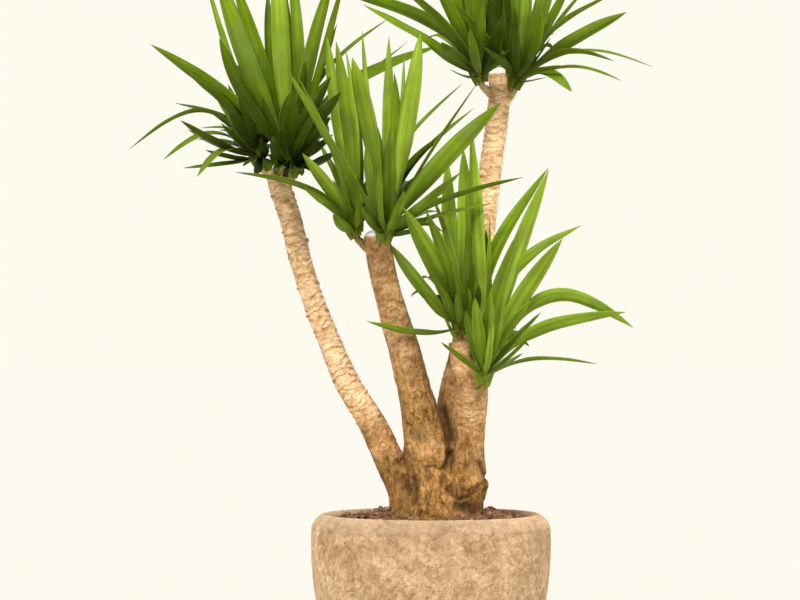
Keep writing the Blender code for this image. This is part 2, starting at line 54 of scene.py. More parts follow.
# Camera: how far it stands from the pot's middle, its place and its lens
CAMERA_DISTANCE = 5.5
CAMERA_ACROSS = -0.058
CAMERA_HEIGHT = 0.746
SENSOR_WIDTH = 36
LENS = 131.67
VIEW_SHIFT = 0.04375
PHOTO_WIDTH = 800
PHOTO_HEIGHT = 600
# Width of a pixel at a distance of 1 m, and the row of pixels that is level with the camera
PIXEL = SENSOR_WIDTH / LENS / PHOTO_WIDTH
LEVEL_ROW = PHOTO_HEIGHT / 2 + PHOTO_WIDTH * VIEW_SHIFT

# Pot
POT_HEIGHT = 0.410
POT_BELLY_RADIUS = 0.225
POT_BELLY_HEIGHT = 0.357
POT_FOOT_RADIUS = 0.124
POT_FOOT_ROUNDING = 0.006
POT_WALL = 0.026
POT_FLOOR = 0.030
RIM_INNER_RADIUS = 0.201
LINING_RADIUS = RIM_INNER_RADIUS - 0.002
# A turned profile starts and ends this near the axis, where a small flat face closes it
AXIS_RADIUS = 0.002
RIM_BEVEL_HEIGHT = 0.024
RIM_CREASE_HEIGHT = 0.382
RIM_CREASE_DEPTH = 0.0004
POT_COLUMNS = 360
POT_RELIEF = 0.0009

# Soil
SOIL_EDGE_HEIGHT = 0.397
SOIL_MOUND = 0.010
SOIL_LUMP = 0.004
SOIL_COLUMNS = 200
# Soil heaped against the stump: x, y, width and height
MOUNDS = ((-0.086, -0.005, 0.030, 0.014), (0.116, -0.005, 0.030, 0.014), (0.060, 0.085, 0.040, 0.010))
CRUMBS = 520
CRUMB_REACH = RIM_INNER_RADIUS - 0.012
CRUMB_SMALLEST = 0.0022
CRUMB_SPREAD = 0.0060
CRUMB_ROWS = 6
CRUMB_COLUMNS = 8

# Stump
STUMP_CENTRE = (0.0115, -0.005)
STUMP_HALF_WIDTH = 0.089
STUMP_HALF_DEPTH = 0.078
STUMP_LOBES = 7
STUMP_LOBE = 0.045
STUMP_COLUMNS = 280
STUMP_FOOT = 0.300
STUMP_STEP = 0.0016
# Height, and the share of the outline that is left there
STUMP_RISE = ((0.300, 0.97), (0.400, 0.96), (0.424, 0.92), (0.448, 0.82), (0.472, 0.62), (0.488, 0.40))

# Stage
FLOOR_RADIUS = 60.0
FLOOR_SIDES = 96
FLOOR_COLOUR = (0.490, 0.488, 0.470)
ROOM_COLOUR = (0.985, 0.957, 0.860)
# How bright the room lights things, against how bright it looks
ROOM_LIGHT = 0.62
# Soft lights from far off: strength, colour, softness, azimuth from the viewer's side to the right, and
# height, all three in degrees
SUNS = {
    "key": (3.8, (1.0, 0.98, 0.93), 22, -22, 48),
    "fill": (1.9, (1.0, 0.97, 0.92), 40, 58, 30),
    "back": (0.9, (1.0, 0.99, 0.95), 30, 165, 42),
}

# Canes, from the stump up: x, y, z and radius of the middle line
CANES = {
    "left": (
        (-0.041, 0.000, 0.421, 0.031),
        (-0.056, 0.000, 0.468, 0.030),
        (-0.073, 0.002, 0.500, 0.0285),
        (-0.109, 0.006, 0.577, 0.0255),
        (-0.155, 0.014, 0.653, 0.0238),
        (-0.189, 0.022, 0.730, 0.0212),
        (-0.220, 0.030, 0.807, 0.0203),
        (-0.245, 0.037, 0.884, 0.0207),
        (-0.264, 0.043, 0.961, 0.0208),
        (-0.284, 0.048, 1.024, 0.021),
        (-0.290, 0.050, 1.048, 0.0208),
        (-0.292, 0.051, 1.061, 0.0198),
    ),
    "middle": (
        (0.006, -0.016, 0.421, 0.050),
        (0.000, -0.018, 0.490, 0.0465),
        (-0.006, -0.022, 0.531, 0.044),
        (-0.0125, -0.027, 0.567, 0.040),
        (-0.030, -0.040, 0.639, 0.0322),
        (-0.048, -0.056, 0.711, 0.0292),
        (-0.069, -0.072, 0.783, 0.0268),
        (-0.089, -0.088, 0.856, 0.025),
        (-0.1015, -0.100, 0.931, 0.0238),
    ),
    "front": (
        (0.056, -0.026, 0.421, 0.037),
        (0.068, -0.034, 0.474, 0.0355),
        (0.072, -0.044, 0.540, 0.027),
        (0.073, -0.050, 0.572, 0.0275),
        (0.0745, -0.060, 0.620, 0.031),
        (0.0735, -0.068, 0.655, 0.0315),
        (0.067, -0.072, 0.690, 0.030),
        (0.057, -0.074, 0.736, 0.025),
    ),
    "tall": (
        (0.022, 0.030, 0.421, 0.036),
        (0.028, 0.034, 0.470, 0.034),
        (0.036, 0.042, 0.549, 0.033),
        (0.045, 0.051, 0.624, 0.031),
        (0.066, 0.064, 0.718, 0.0285),
        (0.083, 0.076, 0.812, 0.0255),
        (0.099, 0.088, 0.927, 0.0225),
        (0.108, 0.097, 1.004, 0.0218),
        (0.116, 0.104, 1.070, 0.0212),
        (0.125, 0.112, 1.134, 0.021),
        (0.133, 0.118, 1.200, 0.0215),
        (0.133, 0.120, 1.247, 0.0205),
    ),
}
CANE_SIDES = 10
SCAR_SPACING = 0.022
SCAR_RELIEF = 0.0012
COLLAR_SIDES = 8
COLLAR_ROOT_RADIUS = 0.0115
COLLAR_END_RADIUS = 0.0095
COLLAR_BEND = 0.008

# Shoots and leaves
SHOOT_FOOT_RADIUS = 0.0088
SHOOT_BULGE_RADIUS = 0.0125
SHOOT_TIP_RADIUS = 0.004
SHOOT_SIDES = 8
SLIM_LEAF = 0.018
FULL_LEAF = 0.034
SHORT_LEAF = 0.120
LONG_LEAF = 0.330
SPREAD_HEIGHT = 0.035
# Steepness in degrees, and the shares of the shoot where such a leaf is rooted and bends off
STEEPNESS = (-30, 85)
ROOT_SHARE = (0.07, 0.30)
BEND_SHARE = (0.17, 0.65)
ROOT_OUT = 0.005
BEND_OUT = 0.011
LEAF_THICKNESS = 0.0024
LEAF_CHANNEL = 0.16
LEAF_STATIONS = (0.0, 0.16, 0.40, 0.63, 0.84)
LEAF_CLEARANCE = 0.003
GOLDEN_ANGLE = math.radians(137.508)
SEED = 20

# Each head: the foot of its shoot, the centre that its leaves are measured from, where its collar
# starts inside the cane, the way the shoot leans, its length, how long its leaves are and their tone
# A head's tone lightens or darkens all its leaves, partly as their own green and partly as painted light and
# shade of the whole head.
HEAD_ROWS = (
    ("left_1", (-0.323, 0.060, 1.072), (-0.320, 0.060, 1.060), (-0.294, 0.051, 1.040),
     (-0.35, 0.08, 1.0), 0.110, 0.280, -0.06),
    ("left_2", (-0.262, 0.030, 1.047), (-0.266, 0.035, 1.051), (-0.282, 0.044, 1.016),
     (0.15, -0.15, 1.0), 0.130, 0.300, -0.06),
    ("middle_1", (-0.138, -0.096, 0.930), (-0.134, -0.095, 0.935), (-0.108, -0.098, 0.900),
     (-0.30, 0.04, 1.0), 0.100, 0.260, 0.36),
    ("middle_2", (-0.085, -0.136, 0.918), (-0.080, -0.139, 0.915), (-0.096, -0.106, 0.886),
     (0.10, -0.20, 1.0), 0.100, 0.270, 0.36),
    ("front_1", (0.053, -0.066, 0.748), (0.044, -0.050, 0.740), (0.059, -0.073, 0.712),
     (-0.10, 0.05, 1.0), 0.100, 0.250, 0.66),
    ("front_2", (0.096, -0.109, 0.655), (0.106, -0.111, 0.663), (0.078, -0.076, 0.624),
     (0.10, -0.15, 1.0), 0.110, 0.260, 0.66),
    ("tall_1", (0.098, 0.118, 1.232), (0.103, 0.120, 1.243), (0.126, 0.119, 1.202),
     (-0.30, 0.00, 1.0), 0.100, 0.290, 0.26),
    ("tall_2", (0.162, 0.106, 1.220), (0.163, 0.106, 1.227), (0.139, 0.115, 1.188),
     (0.28, -0.10, 1.0), 0.100, 0.290, 0.26),
)
HEAD_KEYS = ("foot", "centre", "collar", "lean", "shoot", "reach", "tone")
HEADS = {f"rosette_{name}": dict(zip(HEAD_KEYS, row)) for name, *row in HEAD_ROWS}

# Leaves read off the photograph: where the tip and the middle show, in pixels across and down, how
# far in mm the tip comes towards the viewer, the width that shows in pixels, and how light the leaf
# is, from -1 to 1
# That lightness is partly the leaf's own green and partly painted light and shade: lit and backlit leaves are
# drawn lighter, shaded ones darker.
LEAVES_SEEN = {
    "rosette_left_1": (
        (180, 67, 215, 94, 130, 7, -0.3), (128, 150, 187, 112, 40, 4, 0.0),
        (175, 103, 213, 112, -120, 6, -0.5), (163, 160, 197, 136, 150, 4, -0.1),
        (180, 120, 211, 139, 180, 6, -0.6), (183, 168, 224, 163, 200, 5, -0.4),
        (197, 177, 218, 152, 200, 5, 0.1), (197, 139, 225, 141, -160, 5, -0.5),
        (240, 59, 243, 105, -160, 12, -0.7), (214, 91, 235, 118, -60, 12, -0.3),
        (200, 128, 224, 127, -60, 3, 0.0), (205, 150, 232, 157, 120, 4, -0.6),
        (222, 100, 242, 128, 60, 9, -0.6), (238, 88, 250, 125, 100, 10, -0.8),
        (243, 166, 254, 157, 200, 5, -0.8), (254, 173, 260, 160, 180, 5, -0.9),
        (266, 172, 266, 158, 190, 5, -0.7), (276, 168, 272, 154, 120, 6, -1.0),
        (260, 138, 265, 154, 100, 7, -0.9), (206, 108, 231, 126, -80, 5, -0.6),
        (221, 123, 238, 140, 100, 6, -0.7), (228, 84, 243, 118, -120, 7, -0.7),
        (187, 129, 220, 146, -60, 4, -0.5),
    ),
    "rosette_left_2": (
        (150, 44, 207, 81, 60, 12, 0.1), (219, 38, 239, 84, -90, 14, -0.4), (227, 68, 251, 107, 170, 9, -0.6),
        (204, -30, 228, 52, -140, 6, 0.4), (214, -38, 242, 46, 80, 19, 0.25),
        (230, -30, 256, 46, -40, 14, -0.05), (268, -12, 270, 55, -130, 9, 0.2),
        (277, -56, 281, 45, 40, 19, 1.0), (283, -25, 291, 55, -110, 8, -0.7),
        (290, -50, 298, 42, -80, 12, 0.4), (334, -30, 312, 48, 60, 13, 0.3),
        (346, -28, 324, 52, -60, 8, -0.1), (337, 24, 316, 82, -120, 9, -0.8), (389, 18, 338, 57, -60, 5, 0.1),
        (441, 45, 366, 74, -60, 13, -0.15), (407, 42, 348, 92, -100, 4, 0.1),
        (331, 76, 313, 105, 150, 12, -0.6), (341, 92, 323, 113, 200, 10, -0.5),
        (292, 90, 289, 118, 210, 17, -0.35), (318, 107, 303, 135, 190, 9, -0.2),
        (336, 151, 313, 164, 160, 6, -1.0), (262, 95, 272, 128, 120, 10, -0.5),
        (305, 60, 301, 105, 60, 9, -0.9), (276, 175, 281, 162, 190, 6, -1.0),
        (286, 182, 288, 166, 200, 6, -0.9), (302, 176, 297, 165, 160, 6, -1.0),
        (312, 172, 303, 162, 120, 6, -1.0), (273, 136, 277, 153, 180, 8, -0.9),
        (320, 139, 307, 153, 120, 7, -0.8), (333, 134, 318, 147, 120, 6, -0.7),
        (330, 116, 318, 132, 150, 7, -0.5),
    ),
    "rosette_middle_1": (
        (327, 36, 334, 95, -60, 11, 0.35), (336, 41, 346, 104, 60, 13, 0.1),
        (346, 50, 354, 104, -120, 6, 0.5), (350, 78, 357, 140, -140, 11, -0.5),
        (297, 75, 322, 125, 130, 4, 0.4), (302, 153, 324, 181, 80, 12, 0.3),
        (235, 172, 288, 181, 90, 6, -0.4), (303, 187, 323, 201, 180, 6, -0.2),
        (333, 214, 343, 226, 160, 9, 0.0), (332, 163, 343, 192, -60, 6, -0.4),
        (358, 186, 359, 210, 190, 7, -0.1), (341, 150, 349, 188, -160, 10, -0.7),
        (318, 140, 335, 172, -100, 7, -0.2), (371, 202, 359, 222, 60, 5, -0.5),
    ),
    "rosette_middle_2": (
        (352, 57, 364, 104, 80, 14, 0.15), (283, 63, 335, 150, 130, 8, 0.3), (362, 30, 367, 92, -80, 5, 0.45),
        (389, 36, 388, 112, -30, 11, 0.7), (394, 72, 397, 122, -160, 8, -0.1),
        (404, 56, 402, 112, -120, 5, 0.6), (421, 31, 411, 100, 40, 16, 0.85),
        (463, 83, 405, 141, -120, 5, -0.4), (478, 82, 428, 156, 60, 3, -0.3),
        (474, 108, 413, 163, -90, 6, -0.5), (441, 134, 405, 168, -60, 7, -1.0),
        (501, 102, 440, 163, 110, 19, 0.0), (524, 177, 465, 192, 0, 5, -0.1),
        (493, 203, 446, 213, -10, 4, -0.1), (461, 172, 430, 198, 190, 8, 0.15),
        (440, 216, 417, 221, 60, 5, -0.6), (390, 128, 390, 176, 160, 13, 0.0),
        (366, 142, 371, 187, 180, 9, 0.1), (379, 170, 380, 206, 210, 6, 0.2),
        (418, 229, 402, 233, 30, 5, -0.9), (404, 190, 397, 212, 180, 8, 0.1),
        (378, 127, 381, 172, 0, 10, -0.1), (361, 205, 370, 222, 120, 5, -0.5),
        (369, 195, 373, 217, 60, 7, -0.6), (443, 197, 426, 206, 60, 6, -0.3),
        (443, 232, 430, 224, 40, 4, -0.5),
    ),
    "rosette_front_1": (
        (366, 321, 411, 331, 60, 6, 0.0), (389, 243, 426, 292, 60, 13, 0.0),
        (403, 207, 433, 261, 180, 19, 0.0), (426, 210, 447, 262, 170, 13, -0.45),
        (431, 192, 450, 245, 90, 6, 0.1), (447, 158, 450, 232, -80, 16, -0.05),
        (463, 147, 466, 228, -50, 17, 0.0), (467, 176, 470, 240, 20, 10, -0.4),
        (440, 285, 452, 312, 130, 9, -0.3), (452, 262, 461, 298, 160, 9, -0.35),
        (474, 262, 472, 300, 120, 8, -0.5), (468, 288, 466, 316, 190, 9, -0.8),
        (479, 284, 472, 316, 150, 9, -0.7), (457, 292, 460, 318, 200, 8, -0.6),
        (472, 300, 467, 323, 150, 10, -0.6), (418, 286, 440, 311, 120, 9, -0.1),
    ),
    "rosette_front_2": (
        (471, 125, 478, 232, 40, 13, 0.8), (490, 214, 488, 292, 120, 5, 0.9),
        (486, 228, 487, 292, -60, 10, -0.6), (474, 226, 480, 296, -80, 13, -0.7),
        (549, 167, 499, 242, -60, 13, -0.4), (549, 169, 514, 262, 60, 16, 0.9),
        (523, 224, 500, 282, 140, 13, -0.05), (582, 225, 527, 257, -60, 11, -0.3),
        (563, 238, 524, 293, 60, 17, 0.0), (634, 328, 574, 296, 40, 13, 0.2),
        (626, 312, 545, 327, 60, 13, 0.0), (598, 364, 550, 358, 60, 4, -0.1),
        (555, 301, 531, 305, -140, 4, -0.7), (541, 312, 522, 331, 150, 5, -0.6),
        (532, 335, 513, 353, 180, 4, -0.8), (523, 353, 505, 364, -170, 4, -0.8),
        (531, 300, 510, 326, 100, 10, -0.2), (490, 293, 488, 326, 190, 13, -0.2),
        (475, 297, 479, 335, 210, 12, 0.1), (492, 318, 489, 352, 200, 7, 0.35),
        (441, 342, 458, 355, 150, 5, -0.5), (504, 290, 498, 325, 150, 10, 0.1),
        (465, 310, 474, 343, 160, 11, -0.4),
    ),
    "rosette_tall_1": (
        (343, -7, 414, 13, 60, 12, 0.0), (362, 4, 414, 32, -80, 9, -0.2), (408, 29, 438, 48, -180, 4, -0.2),
        (441, 42, 453, 53, 140, 7, -0.5), (425, 42, 450, 60, 60, 5, -0.1), (450, 69, 463, 75, 190, 3, -0.9),
        (395, -20, 440, 20, 140, 8, 0.0), (432, -25, 456, 21, 60, 12, -0.2),
        (460, -60, 470, 25, -90, 11, -0.5), (482, 5, 480, 33, 190, 10, -0.3), (470, 28, 474, 52, 190, 8, 0.2),
        (476, -51, 478, 12, 120, 13, -0.1), (440, -62, 458, 0, -90, 12, -0.1),
        (460, -80, 470, -8, 60, 15, 0.0), (484, -108, 484, -20, -50, 14, 0.1),
        (497, -98, 492, -15, -120, 10, -0.2), (502, 16, 494, 48, 170, 14, -1.2),
        (496, -40, 493, 14, 100, 13, -1.3), (508, 50, 497, 62, 100, 5, -0.6),
    ),
    "rosette_tall_2": (
        (627, 12, 586, 32, 60, 11, 0.0), (653, 67, 604, 51, -60, 3, -0.3), (622, 81, 588, 68, 60, 3, -0.3),
        (614, 61, 580, 51, 100, 5, 0.0), (572, 92, 553, 74, 150, 9, -0.2), (582, 41, 559, 51, -120, 6, -0.1),
        (575, 66, 549, 68, 140, 4, -0.1), (547, 77, 532, 80, 160, 2, -0.4), (616, -8, 569, 17, 60, 5, -0.1),
        (592, -20, 560, 19, -60, 4, -0.5), (574, -24, 550, 20, 100, 9, -0.3),
        (556, -24, 542, 20, 140, 8, 0.0), (538, 3, 536, 29, 190, 13, -0.2), (527, -45, 525, 25, 80, 12, 0.7),
        (455, 3, 485, 38, 150, 7, -0.1), (560, -75, 545, -10, 20, 14, 0.1), (530, -105, 524, -20, 0, 14, 0.1),
        (508, -95, 513, -10, -80, 12, -0.2), (515, 5, 514, 40, 190, 10, -1.0),
        (504, -35, 504, 18, 60, 14, -1.3), (482, 46, 500, 60, 120, 6, -0.6),
    ),
}

# Fine canes and collars
CANE_STEP = 0.0020
CANE_COLUMNS = 96
# Radius of the straight tube on which the marks of a cane are laid out
SKIN_RADIUS = 0.024
COLLAR_STEP = 0.0012
COLLAR_COLUMNS = 36
LIP_HEIGHT = 0.0013
GROOVE_DEPTH = 0.0010
CRACK_DEPTH = 0.0016
PLATE_HEIGHT = 0.0011
# Radii of a cane between which its bark goes from ringed to cracked
RINGED_RADIUS = 0.0250
CRACKED_RADIUS = 0.0335
# Heights between which even a slim cane's bark goes from cracked to ringed
CRACKED_HEIGHT = 0.49
RINGED_HEIGHT = 0.66
# Leaf scars of each cane: windings of their lines, distance between them along the cane, and strength
CANE_SCARS = {
    "left": (2, 0.0135, 1.0),
    "middle": (2, 0.0190, 0.6),
    "front": (4, 0.0110, 0.60),
    "tall": (3, 0.0140, 0.8),
}
# How tan the ringed bark of each cane is, from pale to as tan as the old bark
CANE_TANS = {"left": 0.0, "middle": 0.58, "front": 0.56, "tall": 0.0}
# How much of a thick cane's bark is cracked instead of ringed
CANE_AGES = {"left": 1.0, "middle": 1.0, "front": 0.35, "tall": 1.0}
# Furrows, hollows and lumps read off the photograph: a line over pixels across and down, its half
# width in pixels, its depth in mm (a lump's is below 0) and how dark it is
# Their darkness is painted shade in furrows, hollows and the gaps between canes, and on the small lumps the
# dark brown of buds.
FURROWS = (
    (((443, 468), (444, 484), (450, 495), (460, 500), (470, 497), (480, 488), (487, 478)), 2.4, 4.0, 0.55),
    (((447, 480), (456, 488), (468, 486), (477, 478)), 7.0, -3.5, 0.0),
    (((440, 396), (443, 412)), 4.5, 1.5, 0.35),
    (((443, 408), (447, 424), (451, 440)), 4.6, 4.5, 1.0),
    (((450, 453), (449, 460), (446, 468)), 3.4, 6.0, 1.0),
    (((426, 468), (434, 466), (441, 470)), 1.6, 2.5, 0.8),
    (((403, 478), (405, 487), (408, 493)), 4.0, 6.0, 0.95),
    (((413, 480), (415, 492), (414, 503)), 3.6, 6.0, 0.95),
    (((404, 484), (409, 498), (406, 510)), 11.0, 0.0, 0.40),
    (((481, 464), (483, 472), (486, 478)), 2.0, 5.0, 0.95),
    (((486, 480), (487, 487)), 2.2, -2.0, 0.1),
    (((459, 507), (467, 507), (475, 512)), 7.5, 8.0, 1.0),
    (((397, 460), (401, 455), (406, 450)), 3.5, -2.5, 0.30),
    (((440, 478), (442, 486)), 1.5, 3.0, 0.8),
    (((421, 476), (423, 492), (421, 508)), 2.2, -4.0, 0.0),
    (((433, 490), (435, 500), (433, 514)), 2.4, -4.0, 0.0),
    (((428, 492), (428, 502), (426, 514)), 1.8, 3.0, 0.60),
    (((396, 474), (399, 492), (397, 510)), 1.6, 2.5, 0.40),
    (((443, 504), (449, 509), (451, 516)), 1.8, 3.0, 0.6),
    (((264, 187), (265, 187)), 1.4, -4.5, 0.85),
    (((273, 196), (274, 196)), 1.3, -3.5, 0.60),
    (((293, 194), (292, 194)), 1.3, -3.5, 0.70),
    (((276, 175), (279, 175)), 1.8, -1.5, 0.65),
    (((286, 201), (289, 201)), 1.8, -2.5, 0.55),
    (((280, 216), (281, 215)), 1.3, -3.0, 0.60),
    (((284, 232), (285, 232)), 1.5, -3.0, 0.55),
    (((307, 240), (306, 240)), 1.5, -4.0, 0.85),
    (((304, 245), (302, 245)), 1.3, -1.0, 0.65),
    (((290, 258), (292, 258)), 1.7, -3.0, 0.60),
    (((303, 259), (307, 259)), 1.5, -2.0, 0.50),
    (((295, 273), (296, 273)), 1.3, -3.0, 0.60),
    (((318, 283), (316, 283)), 1.5, -4.0, 0.70),
    (((298, 288), (299, 288)), 1.2, -3.0, 0.60),
    (((308, 316), (309, 316)), 1.4, -3.5, 0.70),
    (((327, 311), (326, 311)), 1.4, -3.5, 0.70),
)

# What the bark's material reads at each point
BARK_VALUES = ("lip", "groove", "old", "dark", "cut", "sprout")

# Fine leaves: points along and round each blade
BLADE_STATIONS = 32
BLADE_COLUMNS = 14
STRAIGHTNESS = 0.75
BLADE_THICKNESS = 0.0018
MARGIN_THICKNESS = 0.0005
BLADE_WAVE = 0.018
SHOOT_STATIONS = 40
SHOOT_COLUMNS = 30
# Distances in mm by which a leaf that was read may come nearer or go further to clear the rest
TIP_SHIFTS = (0, 20, -20, 40, -40, 60, -60, 85, -85, 110, -110, 140, -140)
# Leaves of the spiral: steepness in degrees of the first, the last and those that don't point to the
# back, length and width as shares of the head's reach, and how far in degrees each may turn aside
SPIRAL_LEAVES = 26
SPIRAL_FIRST = 80
SPIRAL_LAST = 10
SPIRAL_STEEP = 78
SPIRAL_SHORT = 0.22
SPIRAL_LONG = 0.80
SPIRAL_WIDTH = 0.08
SPIRAL_TURNS = (0, 7, -7, 14, -14, 21, -21, 28, -28, 36, -36, 45, -45, 55, -55)
# How much darker the spiral's leaves are drawn: painted shade, as they fill the back and the inside of a
# head.
SPIRAL_SHADE = -0.65
SHEATHS = 14
LEAF_NECK = 0.40
SHEATH_NECK = 0.95


def unit(vectors):
    vectors = np.asarray(vectors, float)
    return vectors / np.linalg.norm(vectors, axis=-1, keepdims=True)


def round_angles(columns):
    return np.arange(columns) * 2 * math.pi / columns


def ring_of(angles):
    """Level unit vectors that point outwards at the angles."""
    return np.stack([np.cos(angles), np.sin(angles), 0 * angles], axis=-1)


def mixed(cell, seed):
    """A repeatable value from 0 to 1 for each whole-number cell, by mixing its numbers' bits."""
    x, y, z = np.moveaxis(np.asarray(cell).astype(np.int64).astype(np.uint32), -1, 0)
    bits = x * np.uint32(374761393) + y * np.uint32(668265263) + z * np.uint32(2246822519)
    bits = (bits + np.uint32(seed * 7919 + 17)) * np.uint32(3266489917)
    bits = (bits ^ (bits >> np.uint32(15))) * np.uint32(1274126177)
    return (bits ^ (bits >> np.uint32(16))).astype(float) / 2**32


def noise(points, size, seed):
    """Smooth noise from -1 to 1 in cells of the size: each point blends its cell's eight corner values."""
    scaled = np.asarray(points) / size
    cell = np.floor(scaled)
    share = scaled - cell
    share = share * share * (3 - 2 * share)
    total = 0.0
    for corner in np.ndindex(2, 2, 2):
        weight = np.prod(np.where(corner, share, 1 - share), axis=-1)
        total = total + weight * mixed(cell + corner, seed)
    return 2 * total - 1


def layered(points, size, seed, layers=3):
    """Layers of noise added up, each half the size and half the height of the one before."""
    size = np.asarray(size, float)
    total = 0.0
    for layer in range(layers):
        total = total + noise(points, size / 2**layer, seed + layer) / 2**layer
    return total


def smoothly(value, low, high):
    """0 below the low value, 1 above the high one, and an S-curve between."""
    share = np.clip((value - low) / (high - low), 0, 1)
    return share * share * (3 - 2 * share)


def ring_quads(rows, columns):
    """Faces between rows of points that run round: each joins a point, the next one and the two above."""
    first = np.arange(rows - 1)[:, None] * columns + np.arange(columns)
    after = np.roll(first, -1, axis=1)
    return np.stack([first, after, after + columns, first + columns], axis=-1).reshape(-1, 4)


def closed_grid(points, values=None, across=None):
    """A closed shape from rows of points that run round, with one face over each end."""
    rows, columns = points.shape[:2]
    last = (rows - 1) * columns
    values = values or {}
    return {
        "points": points.reshape(-1, 3),
        "quads": ring_quads(rows, columns),
        "ends": [list(range(columns))[::-1], list(range(last, last + columns))],
        "values": {name: np.broadcast_to(value, (rows, columns)).ravel() for name, value in values.items()},
        "across": across,
    }


def add_object(name, data):
    """An object in the scene, at the origin, unturned and unscaled."""
    made = bpy.data.objects.new(name, data)
    bpy.context.scene.collection.objects.link(made)
    return made


def add_piece(name, shapes, material, stands_for):
    """One mesh of all the shapes, in the place of the solid, with the shapes' values as attributes.

    Places across and along a shape, where it has them, become the mesh's UV map.
    """
    counts = np.cumsum([0] + [len(shape["points"]) for shape in shapes])
    faces = []
    for shape, first in zip(shapes, counts):
        faces += (shape["quads"] + first).tolist()
        faces += [[int(first) + corner for corner in end] for end in shape["ends"]]
    mesh = bpy.data.meshes.new(name)
    mesh.from_pydata(np.concatenate([shape["points"] for shape in shapes]), [], faces)
    for key in shapes[0]["values"]:
        attribute = mesh.attributes.new(key, "FLOAT", "POINT")
        attribute.data.foreach_set("value", np.concatenate([shape["values"][key] for shape in shapes]))
    if shapes[0]["across"] is not None:
        places = np.concatenate([shape["across"].reshape(-1, 2) for shape in shapes])
        corners = np.empty(len(mesh.loops), np.int32)
        mesh.loops.foreach_get("vertex_index", corners)
        mesh.uv_layers.new(name="blade").uv.foreach_set("vector", places[corners].ravel())
    mesh.shade_smooth()
    mesh.materials.append(material)
    piece = add_object(name, mesh)
    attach(piece, "root")
    if stands_for:
        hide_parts(stands_for)


def smooth_rows(rows, step):
    """Rows of x, y, z, radius about a step apart, on a Catmull-Rom curve through the given rows."""
    rows = np.asarray(rows, float)
    rows = np.vstack([2 * rows[0] - rows[1], rows, 2 * rows[-1] - rows[-2]])
    share = np.linspace(0, 1, 12, endpoint=False)[:, None]
    dense = []
    for before, start, end, after in zip(rows, rows[1:], rows[2:], rows[3:]):
        cubic = 3 * start - before - 3 * end + after
        square = 2 * before - 5 * start + 4 * end - after
        dense.append(start + 0.5 * ((end - before) * share + square * share**2 + cubic * share**3))
    dense = np.vstack([*dense, rows[-2:-1]])
    along = np.r_[0, np.cumsum(np.linalg.norm(np.diff(dense[:, :3], axis=0), axis=1))]
    places = np.linspace(0, along[-1], max(2, round(along[-1] / step) + 1))
    return np.stack([np.interp(places, along, column) for column in dense.T], axis=1)


def tube(rows, radius, columns):
    """Points round a path of x, y, z, radius, with two cross directions: to the left and to the viewer.

    Each is its middle point plus the radius times cos and sin of its angle in those directions.
    """
    angles = round_angles(columns)
    along = unit(np.gradient(rows[:, :3], axis=0))
    across = unit(np.cross(TO_VIEWER, along))
    outward = np.cross(along, across)
    return (
        rows[:, None, :3]
        + (radius * np.cos(angles))[..., None] * across[:, None]
        + (radius * np.sin(angles))[..., None] * outward[:, None]
    )


def tube_rings(rows, sides, relief=0.0):
    """A solid's tube. The relief lifts every other point, shifted from ring to ring."""
    checker = (np.arange(len(rows))[:, None] + np.arange(sides)) % 2 * 2 - 1
    checker[0] = checker[-1] = 0
    return tube(rows, rows[:, 3:] + relief * checker, sides)


def collar_rows(head):
    """The collar's path: out of the cane, and then along the shoot to end flat under its foot."""
    foot = np.array(head["foot"])
    start = np.array(head["collar"])
    before = foot - COLLAR_BEND * unit(head["lean"])
    middles = [start, 0.4 * start + 0.6 * before, before, foot]
    return np.column_stack([middles, [COLLAR_ROOT_RADIUS] * 2 + [COLLAR_END_RADIUS] * 2])


def shoot_rows(head):
    foot = np.array(head["foot"])
    axis = unit(head["lean"])
    shares = np.array([0.0, 0.3, 0.65, 1.0])
    radii = (SHOOT_FOOT_RADIUS, SHOOT_BULGE_RADIUS, SHOOT_BULGE_RADIUS, SHOOT_TIP_RADIUS)
    middles = foot + axis * GAP + shares[:, None] * axis * head["shoot"]
    return np.column_stack([middles, radii])


def seen_at(across, down, away):
    """The point at a depth y that shows at a pixel: its ray from the camera, carried to that depth."""
    pixel = PIXEL * (CAMERA_DISTANCE + away)
    x = CAMERA_ACROSS + (across - PHOTO_WIDTH / 2) * pixel
    return np.array([x, away, CAMERA_HEIGHT - (down - LEVEL_ROW) * pixel])


